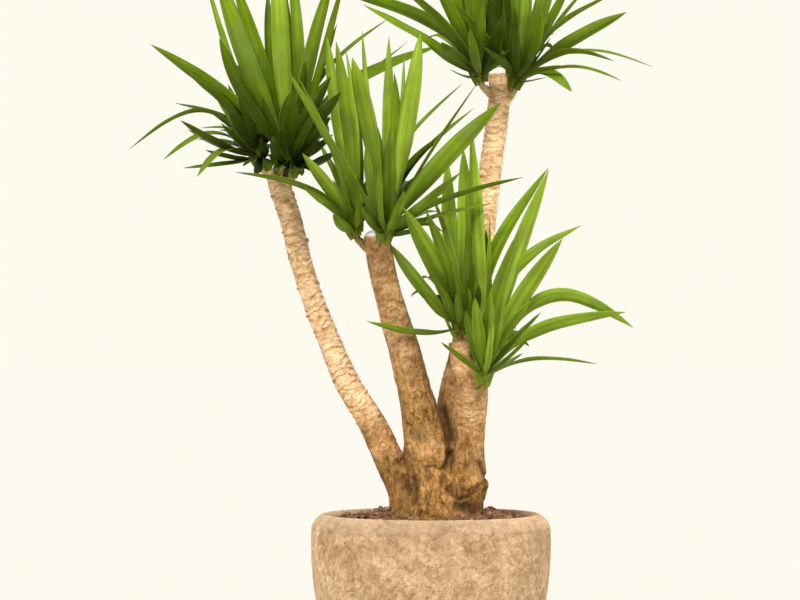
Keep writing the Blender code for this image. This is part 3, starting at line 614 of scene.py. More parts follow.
def leaf_from_tip(head, tip, shown, middle=None, lift=0.0, roll=None):
    """A leaf from its tip, and from the middle of its path where that is known.

    It hugs the shoot from its root up to where it bends off: a steep leaf bends off high on the
    shoot, and a flat or drooping one low on it. The path is a cubic Bezier curve over four points:
    root, bend, crest and tip. Where the middle is known, the crest lies near the line from it to the
    tip, which keeps the outer part straight, and the bend is set so that the curve passes the middle
    at the share of the length where it lies. Otherwise the crest arches the leaf up by its lift.
    """
    foot = np.array(head["foot"])
    axis = unit(head["lean"])
    way = unit(tip - foot - axis * SPREAD_HEIGHT)
    steepness = math.degrees(math.asin(np.clip(way @ axis, -1, 1)))
    side = unit(way - (way @ axis) * axis)
    root_height = np.interp(steepness, STEEPNESS, ROOT_SHARE) * head["shoot"]
    bend_height = np.interp(steepness, STEEPNESS, BEND_SHARE) * head["shoot"]
    root = foot + axis * root_height + side * ROOT_OUT
    bend = foot + axis * bend_height + side * BEND_OUT
    crest = (bend + 2 * tip) / 3 + 2.5 * lift * UP
    if middle is not None:
        near = np.linalg.norm(middle - root)
        share = min(0.6, near / (near + np.linalg.norm(tip - middle)))
        rest = 1 - share
        arched = (middle - rest**2 * root - share**2 * tip) / (2 * share * rest)
        straight = tip + min(0.9, 1 / (3 * rest)) * (middle - tip)
        crest = STRAIGHTNESS * straight + (1 - STRAIGHTNESS) * (tip + 2 * arched) / 3
        pulled = middle - rest**3 * root - 3 * rest * share**2 * crest - share**3 * tip
        bend = pulled / (3 * rest**2 * share)
    width = np.interp(np.linalg.norm(tip - root), (SHORT_LEAF, LONG_LEAF), (SLIM_LEAF, FULL_LEAF))
    return {
        "root": root,
        "bend": bend,
        "crest": crest,
        "tip": tip,
        "width": np.clip(width, shown, 2 * shown),
        "shown": shown,
        "roll": roll,
        "neck": LEAF_NECK,
    }


def leaf_frame(leaf, shares):
    """Middle line, width direction and upper side of a leaf at shares of its length.

    The middle line is the leaf's Bezier curve. The upper side faces up and inwards, and turns about
    the middle line until the wanted width shows.
    """
    shares = np.asarray(shares, float)[:, None]
    rest = 1 - shares
    root, bend, crest, tip = (leaf[key] for key in ("root", "bend", "crest", "tip"))
    middle = rest**3 * root + 3 * rest**2 * shares * bend + 3 * rest * shares**2 * crest + shares**3 * tip
    along = unit(rest**2 * (bend - root) + 2 * rest * shares * (crest - bend) + shares**2 * (tip - crest))
    outward = (tip - root) * (1, 1, 0) + 1e-6
    across = np.cross(UP, unit(outward))
    upper = unit(np.cross(along, across))
    roll = leaf["roll"]
    if roll is None:
        chord = unit(tip - root)
        seen = TO_VIEWER - (TO_VIEWER @ chord) * chord
        natural = unit(np.cross(chord, across))
        turn = math.atan2(np.cross(natural, seen) @ chord, natural @ seen)
        turn = (turn + math.pi / 2) % math.pi - math.pi / 2
        kept = math.acos(min(1, leaf["shown"] / leaf["width"]))
        roll = math.copysign(1, turn) * (abs(turn) - kept)
    turned_by = roll * np.clip(shares / 0.35, 0, 1)
    upper = upper * np.cos(turned_by) + np.cross(along, upper) * np.sin(turned_by)
    return middle, np.cross(upper, along), upper


def width_share(shares, narrow=LEAF_NECK):
    """Share of a leaf's full width: a narrow neck above the root, full at the middle, a sharp tip."""
    shares = np.asarray(shares, float)
    rise = np.clip(shares / 0.45, 0, 1)
    neck = narrow + (1 - narrow) * rise**2 * (3 - 2 * rise)
    fall = np.clip((shares - 0.45) / 0.55, 0, 1)
    return neck * (1 - fall**2.8)


def solid_blade(leaf, grow=0.0, first=0):
    """Points and faces of a leaf's solid: four-sided sections with a channel along the top, and a tip."""
    shares = LEAF_STATIONS[first:]
    middle, across, upper = leaf_frame(leaf, (*shares, 1.0))
    width = leaf["width"] * width_share(shares)[:, None] + grow
    sunk = middle[:-1] - LEAF_CHANNEL * width * upper[:-1]
    half = (LEAF_THICKNESS + grow) / 2 * upper[:-1]
    edge = width / 2 * across[:-1]
    rings = np.stack([middle[:-1] + edge, sunk + half, middle[:-1] - edge, sunk - half], axis=1)
    last = 4 * (len(rings) - 1)
    tip = [(last + corner, last + (corner + 1) % 4, last + 4) for corner in range(4)]
    faces = [(3, 2, 1, 0), *ring_quads(len(rings), 4).tolist(), *tip]
    return np.vstack([rings.reshape(-1, 3), middle[-1:]]), faces


def tree_of(points, faces):
    return BVHTree.FromPolygons([tuple(point) for point in points], faces)


def tree_of_tube(rings):
    shape = closed_grid(rings)
    return tree_of(shape["points"], shape["quads"].tolist() + shape["ends"])


def read_choices(head, reading):
    """The leaf as read, and then versions whose tip lies nearer to or further from the viewer.

    Tip and middle keep their pixels. The middle's depth lies between the foot's and the tip's, by the
    share of the way from foot to tip at which it shows.
    """
    *tip_pixel, across, down, toward, shown, tone = reading
    foot = np.array(head["foot"])
    level = seen_at(across, down, foot[1])
    near = np.linalg.norm(level - foot)
    for shift in TIP_SHIFTS:
        away = head["centre"][1] - (toward + shift) * MM
        tip = seen_at(*tip_pixel, away)
        share = near / (near + np.linalg.norm((tip - level)[[0, 2]]))
        half_away = foot[1] + share * (away - foot[1])
        middle = seen_at(across, down, half_away)
        width = shown * PIXEL * (CAMERA_DISTANCE + half_away) / width_share(np.clip(share, 0.3, 0.75))
        yield {**leaf_from_tip(head, tip, width, middle), "tone": tone + head["tone"]}


def spiral_choices(head, number, draw):
    """The next leaf of the spiral, from upright to hanging, and then versions turned aside.

    These fill the back and the inside. With b from 0 to 1 for how far a leaf points to the back, its
    length is  reach * (short + long * b to the power of 1.5 * cos(steepness)),  and it is steeper the
    less it points there.
    """
    share = (number + 0.5) / SPIRAL_LEAVES
    turn = number * GOLDEN_ANGLE + draw.uniform(0, 0.4)
    slope = SPIRAL_FIRST - (SPIRAL_FIRST - SPIRAL_LAST) * share + draw.uniform(-7, 7)
    reach = head["reach"] * draw.uniform(0.85, 1.0)
    lift = draw.uniform(0.00, 0.10) * reach * math.cos(math.radians(slope))
    roll = math.radians(draw.uniform(-30, 30))
    foot = np.array(head["foot"])
    for step in SPIRAL_TURNS:
        way = turn + math.radians(step)
        flat = np.array([math.cos(way), math.sin(way), 0.0])
        steep = math.radians(slope + 0.7 * (SPIRAL_STEEP - slope) * min(1 - flat[1], 1))
        length = reach * (SPIRAL_SHORT + SPIRAL_LONG * max(flat[1], 0) ** 1.5 * math.cos(steep))
        tip = foot + length * (math.cos(steep) * flat + math.sin(steep) * UP)
        leaf = leaf_from_tip(head, tip, head["reach"] * SPIRAL_WIDTH, None, lift, roll)
        yield {**leaf, "tone": SPIRAL_SHADE + head["tone"] + draw.normal(0, 0.2)}


def grow_leaves():
    """Each head's leaves: the ones read first, and then the spiral's, each moved until it clears the rest.

    A leaf must clear the canes, the collars and the other heads. In its own head it is kept where its
    outer part crosses the fewest others.
    """
    fixed = []
    for rows in CANES.values():
        rings = tube_rings(smooth_rows(rows, SCAR_SPACING), CANE_SIDES, SCAR_RELIEF)
        fixed.append((None, tree_of_tube(rings)))
    for head in HEADS.values():
        fixed.append((None, tree_of_tube(tube_rings(collar_rows(head), COLLAR_SIDES))))
    for name, head in HEADS.items():
        fixed.append((name, tree_of_tube(tube_rings(shoot_rows(head), SHOOT_SIDES))))
    grown = {name: [] for name in HEADS}
    outer = {name: [] for name in HEADS}

    def place(name, choices):
        best = None
        for leaf in choices:
            body = tree_of(*solid_blade(leaf, LEAF_CLEARANCE))
            if any(body.overlap(tree) for owner, tree in fixed if owner != name):
                continue
            tail = tree_of(*solid_blade(leaf, 0.0, 2))
            crossed = sum(bool(tail.overlap(tree)) for tree in outer[name])
            if best is None or crossed < best[0]:
                best = (crossed, leaf, tail)
            if crossed == 0:
                break
        if best:
            grown[name].append(best[1])
            outer[name].append(best[2])
            fixed.append((name, tree_of(*solid_blade(best[1], LEAF_CLEARANCE))))

    for name, readings in LEAVES_SEEN.items():
        for reading in readings:
            place(name, read_choices(HEADS[name], reading))
    for order, (name, head) in enumerate(HEADS.items()):
        draw = np.random.default_rng(SEED + order)
        for number in range(SPIRAL_LEAVES):
            place(name, spiral_choices(head, number, draw))
    return grown


def sheath_leaves(head, draw):
    """Short leaves that clasp the shoot's foot, each a golden angle on from the last and a little higher."""
    foot = np.array(head["foot"])
    axis = unit(head["lean"])
    side = unit(np.cross(axis, (0.3, 1.0, 0.1)))
    front = np.cross(axis, side)
    leaves = []
    for number in range(SHEATHS):
        share = number / (SHEATHS - 1)
        turn = number * GOLDEN_ANGLE + draw.uniform(0, 0.6)
        away = math.cos(turn) * side + math.sin(turn) * front
        root = foot + axis * (0.034 * share - 0.004) + away * 0.0068
        bend = root + axis * 0.022 + away * 0.0090
        lean = math.radians(draw.uniform(6, 24))
        tip = root + draw.uniform(0.045, 0.110) * (math.cos(lean) * axis + math.sin(lean) * away)
        leaf = {"root": root, "bend": bend, "crest": (bend + 2 * tip) / 3, "tip": tip}
        leaf = {**leaf, "width": draw.uniform(0.015, 0.021), "neck": SHEATH_NECK, "roll": 0.0}
        leaves.append({**leaf, "tone": head["tone"] + draw.normal(-0.2, 0.3)})
    return leaves


def fine_blade(leaf, seed, furthest=1.0):
    """A leaf's closed skin: rings across it from root to tip.

    With t from -1 to 1 across, a ring's upper and lower skins lie half a thickness above and below
    the line  -channel * width * (1 - |t|), whose fold is rounded and which the margins' slow wave
    lifts. The thickness falls from the midrib to the margins as the root of 1 - t squared.
    """
    shares = np.r_[0.0, np.linspace(0.02, 0.975, BLADE_STATIONS - 3), 0.99, 0.998]
    middle, across, upper = leaf_frame(leaf, shares)
    width = leaf["width"] * width_share(shares, leaf["neck"])[:, None]
    angles = round_angles(BLADE_COLUMNS)
    t = np.cos(angles)
    fold = (np.sqrt(t**2 + 0.012) - np.sqrt(0.012)) / (np.sqrt(1.012) - np.sqrt(0.012))
    deeper = 1.25 + 0.9 * (1 - smoothly(shares, 0.0, 0.60))[:, None]
    sunk = -LEAF_CHANNEL * deeper * width * (1 - fold)
    pace, start, sway_start = mixed([(seed, number, 0) for number in (1, 2, 3)], 5)
    wave = np.sin(2 * math.pi * (shares[:, None] * (2.0 + 1.5 * pace) + start))
    sway = np.sin(2 * math.pi * (shares[:, None] * 2.6 + sway_start))
    ripple = BLADE_WAVE * width * t**2 * (wave + 0.7 * np.sign(t) * sway)
    sunk = sunk + ripple * smoothly(shares, 0.1, 0.4)[:, None]
    body = BLADE_THICKNESS * (1 - 0.75 * smoothly(shares, 0.1, 1.0))[:, None] * np.sqrt(1 - t**2 + 1e-9)
    thick = (MARGIN_THICKNESS * np.minimum(1, width / 0.004) + body) * np.sin(angles) / 2
    points = middle[:, None] + (width / 2 * t)[..., None] * across[:, None]
    points = points + (sunk + thick)[..., None] * upper[:, None]
    rows = (len(shares), BLADE_COLUMNS)
    places = np.stack([np.broadcast_to((t + 1) / 2, rows), np.broadcast_to(shares[:, None], rows)], axis=-1)
    below = smoothly(-np.sin(angles), -0.1, 0.3)
    values = {"reach": furthest * shares[:, None], "tone": leaf["tone"], "below": below}
    return closed_grid(points, values, places)


def fine_shoot(head, tone):
    """The shoot, stepped where leaves sheathe it: its radius falls back by a saw line along it."""
    corners = shoot_rows(head)
    along = np.linspace(0, 1, SHOOT_STATIONS)
    knots = np.array([0.0, 0.3, 0.65, 1.0])
    rows = np.stack([np.interp(along, knots, column) for column in corners.T], axis=1)
    angles = round_angles(SHOOT_COLUMNS)
    sheath = np.mod(along[:, None] * 9 + 0.9 * np.cos(angles + along[:, None] * 14), 1.0)
    radius = rows[:, 3:] * (1.0 - 0.09 * sheath)
    places = np.zeros((SHOOT_STATIONS, SHOOT_COLUMNS, 2))
    places[..., 0] = 0.25 + 0.5 * angles / (2 * math.pi)
    places[..., 1] = 0.10 * along[:, None]
    values = {"reach": 0.12 * along[:, None], "tone": tone, "below": 0.0}
    return closed_grid(tube(rows, radius, SHOOT_COLUMNS), values, places)


def wall_radius(height):
    """Radius of the pot's wall: an arc that is upright at the belly and ends at the foot."""
    inset = POT_BELLY_RADIUS - POT_FOOT_RADIUS
    arc = (inset**2 + POT_BELLY_HEIGHT**2) / (2 * inset)
    return POT_BELLY_RADIUS - arc + np.sqrt(arc**2 - (height - POT_BELLY_HEIGHT) ** 2)


def pot_profile():
    """Radius and height down the pot's section: foot, wall up to the crease, bevel, rim and inner wall."""
    foot_angles = np.linspace(math.pi / 2, 0, 8)
    foot = [(AXIS_RADIUS, 0.0), (0.06, 0.0)]
    foot += [(radius, 0.0) for radius in np.linspace(0.08, wall_radius(0.0) - POT_FOOT_ROUNDING, 6)]
    low = wall_radius(POT_FOOT_ROUNDING) - POT_FOOT_ROUNDING
    for angle in foot_angles[1:]:
        foot.append((low + POT_FOOT_ROUNDING * math.cos(angle), POT_FOOT_ROUNDING * (1 - math.sin(angle))))
    bevel_foot = POT_HEIGHT - RIM_BEVEL_HEIGHT
    heights = np.linspace(POT_FOOT_ROUNDING + 0.002, bevel_foot, 130)
    crease = RIM_CREASE_DEPTH * np.exp(-(((heights - RIM_CREASE_HEIGHT) / 0.0040) ** 2))
    wall = list(zip(wall_radius(heights) - crease, heights))
    shoulder = wall[-1][0]
    lip = RIM_INNER_RADIUS + 0.003
    bevel = [
        (lip + (shoulder - lip) * math.cos(a) ** 1.5, bevel_foot + RIM_BEVEL_HEIGHT * math.sin(a) ** 1.5)
        for a in np.linspace(0.06, math.pi / 2, 20)
    ]
    inner_heights = np.linspace(POT_HEIGHT, POT_FLOOR, 30)
    inner = np.minimum(LINING_RADIUS, wall_radius(inner_heights) - POT_WALL)
    inner[0] = RIM_INNER_RADIUS
    lining = list(zip(inner, inner_heights))
    return np.array([*foot, *wall, *bevel, *lining, (0.06, POT_FLOOR), (AXIS_RADIUS, POT_FLOOR)])


def turned(profile, columns):
    """Points of a profile of radius and height carried round +Z."""
    return profile[:, :1, None] * ring_of(round_angles(columns)) + profile[:, 1:, None] * UP


def pot_shape():
    """The turned pot, its skin moved outwards by crumbs between wormy grooves, pits and slow dents.

    A groove runs where swirled noise is near 0. The rim's noise is calmer, and a line of painted shade
    darkens its crease.
    """
    profile = pot_profile()
    points = turned(profile, POT_COLUMNS)
    along = unit(np.gradient(profile, axis=0))
    outward = along[:, None, 1:] * ring_of(round_angles(POT_COLUMNS)) - along[:, None, :1] * UP
    rough = smoothly(points[..., 2], 0.0, 0.012)
    calm = 1 - 0.55 * smoothly(points[..., 2], RIM_CREASE_HEIGHT, RIM_CREASE_HEIGHT + 0.004)
    swirl = points + 0.006 * np.stack([noise(points, 0.014, 60 + axis) for axis in range(3)], axis=-1)
    worm = np.abs(noise(swirl, 0.0085, 50))
    pits = -smoothly(-layered(points, 0.0045, 54, 2), 0.75, 1.2)
    slow = noise(points, 0.05, 57)
    crumbs = 0.9 * smoothly(worm, 0.0, 0.35) - 0.6 + 0.35 * layered(points, 0.006, 58, 2)
    relief = POT_RELIEF * (crumbs * 0.6 + 0.5 * pits + 0.35 * slow)
    points = points + (relief * rough * calm)[..., None] * outward
    rim = smoothly(points[..., 2] + 0.004 * slow, RIM_CREASE_HEIGHT - 0.010, RIM_CREASE_HEIGHT + 0.010)
    # A line of painted shade along the rim's crease.
    line = np.exp(-(((points[..., 2] - RIM_CREASE_HEIGHT) / 0.0022) ** 2))
    patches = smoothly(noise(points, 0.032, 59), -0.35, 0.45)
    groove = (1 - smoothly(worm, 0.0, 0.22)) * patches * (1 - 0.6 * rim) + 0.15 * line
    return closed_grid(points, {"groove": groove, "pit": -pits * (1 - 0.5 * rim), "rim": rim})


def soil_shape():
    """Soil: a mound that falls by the square of the radius, with lumps of noise, down to the pot's floor."""
    heights = np.linspace(POT_FLOOR + GAP, SOIL_EDGE_HEIGHT, 12)
    side = np.minimum(LINING_RADIUS, wall_radius(heights) - POT_WALL) - GAP
    edge = side[-1]
    shares = np.linspace(1, 0.01, 90)[1:]
    top = np.stack([edge * shares, SOIL_EDGE_HEIGHT + SOIL_MOUND * (1 - shares**2)], axis=1)
    profile = np.vstack([(AXIS_RADIUS, POT_FLOOR + GAP), np.stack([side, heights], axis=1), top])
    points = turned(profile, SOIL_COLUMNS)
    inside = 1 - (np.hypot(points[..., 0], points[..., 1]) / edge) ** 6
    broad = np.sin(61 * points[..., 0] + 2) * np.cos(47 * points[..., 1] + 1)
    fine = layered(points, 0.011, 70, 3)
    on_top = points[..., 2] > SOIL_EDGE_HEIGHT - 0.0001
    lumps = SOIL_LUMP * (inside * broad + 0.5 * fine * (0.25 + inside))
    points[..., 2] += np.where(on_top, lumps + soil_mounds(points[..., 0], points[..., 1]), 0)
    return closed_grid(points, {"tone": layered(points, 0.02, 75, 2)})


def soil_mounds(x, y):
    """Soil heaped against the stump: a bell over the distance from each mound's middle."""
    heap = 0.0
    for at_x, at_y, wide, high in MOUNDS:
        heap = heap + high * np.exp(-(((x - at_x) ** 2 + (y - at_y) ** 2) / wide**2))
    return heap


def soil_height(x, y):
    """Height of the soil's mound, broad lumps and heaps at a place, for what lies on it."""
    share = np.hypot(x, y) / LINING_RADIUS
    lumps = SOIL_LUMP * np.sin(61 * x + 2) * np.cos(47 * y + 1)
    return SOIL_EDGE_HEIGHT + SOIL_MOUND * (1 - share**2) + lumps + soil_mounds(x, y)


def crumb_shapes():
    """Bark chips and clods on the soil: flattened balls with corners of noise, strewn by a seeded draw."""
    draw = np.random.default_rng(SEED + 40)
    polar = np.linspace(0.12, math.pi - 0.12, CRUMB_ROWS)[::-1, None]
    ball = np.sin(polar)[..., None] * ring_of(round_angles(CRUMB_COLUMNS)) + np.cos(polar)[..., None] * UP
    shapes = []
    for number in range(CRUMBS):
        distance = CRUMB_REACH * math.sqrt(draw.uniform(0.10, 1.0))
        way = draw.uniform(0, 2 * math.pi)
        size = CRUMB_SMALLEST + CRUMB_SPREAD * draw.uniform() ** 1.8
        stretch = np.array([1.0, draw.uniform(0.55, 1.0), draw.uniform(0.35, 0.8)])
        corners = 1 + 0.30 * noise(ball * 1.3 + number * 7.0, 0.8, 80)
        lump = ball * corners[..., None] * stretch * size
        yaw = draw.uniform(0, math.pi)
        pitch = draw.uniform(-0.6, 0.6)
        level = lump[..., 0] * math.cos(pitch) - lump[..., 2] * math.sin(pitch)
        lifted = lump[..., 0] * math.sin(pitch) + lump[..., 2] * math.cos(pitch)
        x = distance * math.cos(way)
        y = distance * math.sin(way)
        if number % 5 == 0:
            at_x, at_y, wide, _ = MOUNDS[number % len(MOUNDS)]
            x = at_x + 0.7 * wide * draw.normal()
            y = at_y + 0.7 * wide * draw.normal()
            held = min(1, CRUMB_REACH / math.hypot(x, y))
            x = x * held
            y = y * held
        points = np.stack(
            [
                x + level * math.cos(yaw) - lump[..., 1] * math.sin(yaw),
                y + level * math.sin(yaw) + lump[..., 1] * math.cos(yaw),
                soil_height(x, y) + 0.35 * size * stretch[2] + lifted,
            ],
            axis=-1,
        )
        shapes.append(closed_grid(points, {"tone": draw.uniform(-1, 1)}))
    return shapes


def furrows(points, facing):
    """How deep and how dark the bark is where furrows, hollows and lumps show in the photograph.

    Each is a line over pixels. At a distance d from the line it is depth * exp(-(d / width) squared),
    on the skin that faces the viewer. The darkness is painted shade in furrows, hollows and the gaps
    between canes, and on a few lumps the dark brown of buds.
    """
    pixel = PIXEL * (CAMERA_DISTANCE + points[..., 1])
    across = PHOTO_WIDTH / 2 + (points[..., 0] - CAMERA_ACROSS) / pixel
    down = LEVEL_ROW - (points[..., 2] - CAMERA_HEIGHT) / pixel
    place = np.stack([across, down], axis=-1)
    place = place + 0.9 * np.stack([noise(points, 0.008, 96), noise(points, 0.008, 97)], axis=-1)
    depth = 0.0
    dark = 0.0
    for line, width, deep, darkness in FURROWS:
        line = np.array(line, float)
        apart = np.full(across.shape, 1e9)
        for first, last in zip(line[:-1], line[1:]):
            way = last - first
            share = np.clip(((place - first) @ way) / (way @ way), 0, 1)
            off = place - first - share[..., None] * way
            apart = np.minimum(apart, np.hypot(off[..., 0], off[..., 1]))
        bell = np.exp(-((apart / width) ** 2)) * smoothly(facing, -0.35, 0.0)
        depth = depth + deep * MM * bell
        dark = np.maximum(dark, darkness * bell)
    return depth, dark


def ridge(value, width):
    """1 on the whole numbers of a value, falling off to 0 within the width on each side."""
    return np.exp(-(((value - np.round(value)) / width) ** 2))


def leaf_scars(skin, turns, along, scars, seed):
    """Lips, grooves and wrinkles of the leaf scars on a cane.

    Two families of lines wind round the cane opposite ways, where  along / pitch  plus or minus the
    windings times the turns is a whole number. Noise bends them into arcs, so that they part the bark
    into cushions. Each is a groove under a lip, and comes and goes with noise. The bark material draws
    the lip light and the groove dark, partly as painted highlight and painted shadow.
    """
    windings, pitch, most = scars
    bend = 0.60 * noise(skin, 0.020, seed) + 0.25 * noise(skin, 0.009, seed + 1)
    other_bend = 0.60 * noise(skin, 0.020, seed + 2) + 0.25 * noise(skin, 0.009, seed + 3)
    rising = along / pitch + windings * turns + bend
    falling = along / pitch - windings * turns + other_bend
    strength = most * np.clip(0.50 + 1.5 * noise(skin, 0.013, seed + 4), 0.0, 1.0)
    other_strength = most * np.clip(0.50 + 1.5 * noise(skin, 0.013, seed + 5), 0.0, 1.0)
    lip = np.maximum(strength * ridge(rising - 0.22, 0.16), other_strength * ridge(falling - 0.22, 0.16))
    groove = np.maximum(strength * ridge(rising, 0.13), other_strength * ridge(falling, 0.13))
    wrinkles = layered(skin, (0.010, 0.010, 0.0030), seed + 8, 2)
    return lip, groove, wrinkles


def cracked_bark(points, seed):
    """Upright cracks and plates of old bark: a crack runs where noise drawn out upwards is near 0."""
    warped = points + 0.004 * np.stack([noise(points, 0.02, seed + 10 + axis) for axis in range(3)], axis=-1)
    lines = np.abs(noise(warped, (0.0085, 0.0085, 0.040), seed))
    fine_lines = np.abs(noise(warped, (0.0040, 0.0040, 0.020), seed + 1))
    come_and_go = smoothly(noise(points, 0.022, seed + 5), -0.55, 0.35)
    crack = (1 - smoothly(lines, 0.0, 0.20)) * come_and_go
    crack = np.maximum(crack, 0.6 * (1 - smoothly(fine_lines, 0.0, 0.22)) * come_and_go)
    plates = layered(points, (0.011, 0.011, 0.018), seed + 2, 3)
    return crack, plates


def bark_values(points, **given):
    """What the bark's material reads at each point of a grid, 0 where nothing is given."""
    return {name: given.get(name, 0.0) + np.zeros(points.shape[:2]) for name in BARK_VALUES}


def cane_shape(name, order):
    """A cane: its radius gains lips and grooves where its bark is ringed, cracks and plates where it is old.

    How old it is goes from 0 to 1 with its radius and towards its foot.
    """
    rows = smooth_rows(CANES[name], CANE_STEP)
    angles = round_angles(CANE_COLUMNS)
    turns = angles / (2 * math.pi) + 0 * rows[:, :1]
    along = (np.arange(len(rows)) * CANE_STEP)[:, None] + 0 * angles
    skin = SKIN_RADIUS * ring_of(angles) + along[..., None] * UP
    lip, groove, wrinkles = leaf_scars(skin, turns, along, CANE_SCARS[name], 100 + 20 * order)
    plain = tube(rows, rows[:, 3:] + 0 * angles, CANE_COLUMNS)
    crack, plates = cracked_bark(plain, 200 + 20 * order)
    old = CANE_AGES[name] * smoothly(rows[:, 3:], RINGED_RADIUS, CRACKED_RADIUS) + 0 * angles
    old = np.maximum(old, smoothly(-plain[..., 2], -RINGED_HEIGHT, -CRACKED_HEIGHT))
    old = np.clip(old + 0.25 * noise(skin, 0.03, 300 + order), 0, 1)
    ringed = 1 - 0.85 * old
    depth, dark = furrows(plain, np.sin(angles) + 0 * along)
    relief = ringed * (LIP_HEIGHT * lip - GROOVE_DEPTH * groove + 0.0004 * wrinkles)
    relief = relief + (0.15 + 0.85 * old) * (PLATE_HEIGHT * plates - CRACK_DEPTH * crack)
    relief = relief + 0.0012 * noise(skin, 0.045, 310 + order) - depth
    tan = np.clip(np.maximum(old, CANE_TANS[name]) + 0.3 * noise(skin, 0.016, 320 + order), 0, 1)
    groove = np.clip(ringed * groove + old * crack + 0.25 * ringed * np.maximum(-wrinkles, 0), 0, 1)
    points = tube(rows, rows[:, 3:] + relief, CANE_COLUMNS)
    values = bark_values(points, lip=ringed * lip, groove=groove, old=tan, dark=dark)
    return sawn_top(points, values, rows, name == "middle")


def sawn_top(points, values, rows, sealed):
    """Closes a cane with a sawn face: the last ring drawn in towards its middle, domed where it is sealed."""
    shares = np.array([0.985, 0.93, 0.84, 0.72, 0.60, 0.47, 0.34, 0.21, 0.10, 0.02])
    middle = rows[-1, :3]
    way = unit(rows[-1, :3] - rows[-3, :3])
    rise = 0.0100 * (1 - shares**3) if sealed else -0.0012 * (1 - shares)
    lid = middle + shares[:, None, None] * (points[-1] - middle) + rise[:, None, None] * way
    cut = (2.0 if sealed else 1.0) * smoothly(1 - shares, 0.0, 0.08)
    # A dark band on the outer rings of an unsealed cut: painted shadow at the cut's edge.
    edge = 0.9 * (np.arange(len(shares)) < 2) * (not sealed)
    over = bark_values(lid, cut=cut[:, None], dark=edge[:, None])
    values = {key: np.vstack([value, over[key]]) for key, value in values.items()}
    return closed_grid(np.concatenate([points, lid]), values)


def collar_shape(head, tan, order):
    """A sprout's collar: a tube, slimmer than its solid's, with rings where scales were and a green end."""
    rows = smooth_rows(collar_rows(head), COLLAR_STEP)
    along = np.linspace(0, 1, len(rows))[:, None]
    angles = round_angles(COLLAR_COLUMNS)
    rings = ridge(along * len(rows) * COLLAR_STEP / 0.0045 + 0.25 * np.sin(2 * angles + order), 0.22)
    plain = tube(rows, rows[:, 3:] + 0 * angles, COLLAR_COLUMNS)
    rough = layered(plain, 0.006, 400 + order, 2)
    calm = smoothly(1 - along, 0.0, 0.12)
    radius = rows[:, 3:] * (0.80 - 0.15 * smoothly(along, 0.2, 0.7))
    points = tube(rows, radius + calm * (0.0007 * rings + 0.0010 * rough), COLLAR_COLUMNS)
    marks = {"lip": 0.5 * rings * calm, "groove": 0.5 * (1 - rings) * calm, "old": 0.20 + 0.80 * tan}
    sprout = smoothly(along + 0.25 * rough, 0.70, 1.0)
    return closed_grid(points, bark_values(points, sprout=sprout, **marks))


def stump_outline(angles, height):
    """How far the stump reaches from its middle at an angle and a height.

    Each cane's circle at that height gives the distance at which a ray leaves it, and the lobed
    ellipse gives its own. The reach is the smooth maximum of them: k times the log of the sum of
    their exponentials over k. The front cane swells into a foot over the stump's undercut.
    """
    k = 0.0045
    way = np.stack([np.cos(angles), np.sin(angles)], axis=-1)
    total = 0.0
    for name, rows in CANES.items():
        rows = np.array(rows)
        x, y, radius = (np.interp(height, rows[:, 2], rows[:, column]) for column in (0, 1, 3))
        radius = radius + 0.005 * np.exp(-(np.maximum(height - 0.395, 0) / 0.028))
        if name == "front":
            radius = radius + 0.007 * np.exp(-(((height - 0.468) / 0.020) ** 2))
        away = np.stack([x - STUMP_CENTRE[0], y - STUMP_CENTRE[1]], axis=-1)
        ahead = np.sum(away * way, axis=-1)
        aside = np.sqrt(np.maximum(np.sum(away**2, axis=-1) - ahead**2, 0))
        leaves_at = ahead + np.sqrt(np.maximum(radius**2 - aside**2, 0)) - 3 * np.maximum(aside - radius, 0)
        total = total + np.exp(leaves_at / k)
    heights, shares = zip(*STUMP_RISE)
    share = np.interp(height, heights, shares)
    lobes = 1 + 1.6 * STUMP_LOBE * np.cos(STUMP_LOBES * angles + 0.6) - STUMP_LOBE
    along_x = np.cos(angles) / (STUMP_HALF_WIDTH * lobes * share)
    along_y = np.sin(angles) / (STUMP_HALF_DEPTH * lobes * share)
    return k * np.log(total + np.exp(1 / np.hypot(along_x, along_y) / k))


def stump_shape():
    """The stump: rings at the outline's reach, and a lid among the canes.

    Their reach gains folds, knobs and plates of noise, and loses cracks, furrows and hollows.
    """
    top = STUMP_RISE[-1][0]
    heights = np.r_[STUMP_FOOT, 0.34, 0.37, np.arange(0.385, top, STUMP_STEP)]
    angles = round_angles(STUMP_COLUMNS)
    height = heights[:, None] + 0 * angles
    reach = stump_outline(angles + 0 * height, height)
    ring = ring_of(angles)
    middle = np.array([*STUMP_CENTRE, 0.0])
    plain = middle + reach[..., None] * ring + height[..., None] * UP
    crack, plates = cracked_bark(plain, 200)
    folds = noise(plain, (0.017, 0.017, 0.06), 90)
    knobs = layered(plain, 0.012, 95, 2)
    depth, dark = furrows(plain, -ring[..., 1] + 0 * height)
    relief = 0.0042 * folds + 0.0016 * knobs + 1.5 * PLATE_HEIGHT * plates - 1.5 * CRACK_DEPTH * crack - depth
    under = smoothly(height, 0.385, 0.395)
    fades = 0.006 * smoothly(height, top - 0.030, top)
    points = plain + (relief * under - fades)[..., None] * ring
    # Painted shade in the folds' hollows and in the cracks, on top of the furrows' darkness.
    dark = np.clip(dark + 0.65 * smoothly(-folds, 0.30, 0.9) + 0.35 * crack, 0, 1)
    values = bark_values(points, groove=crack, old=1.0, dark=dark)
    shares = np.array([0.93, 0.8, 0.6, 0.4, 0.2, 0.03])
    peak = middle + (top + 0.004) * UP
    lid = peak + shares[:, None, None] * (points[-1] - peak)
    values = {key: np.vstack([value, np.tile(value[-1], (len(shares), 1))]) for key, value in values.items()}
    return closed_grid(np.concatenate([points, lid]), values)


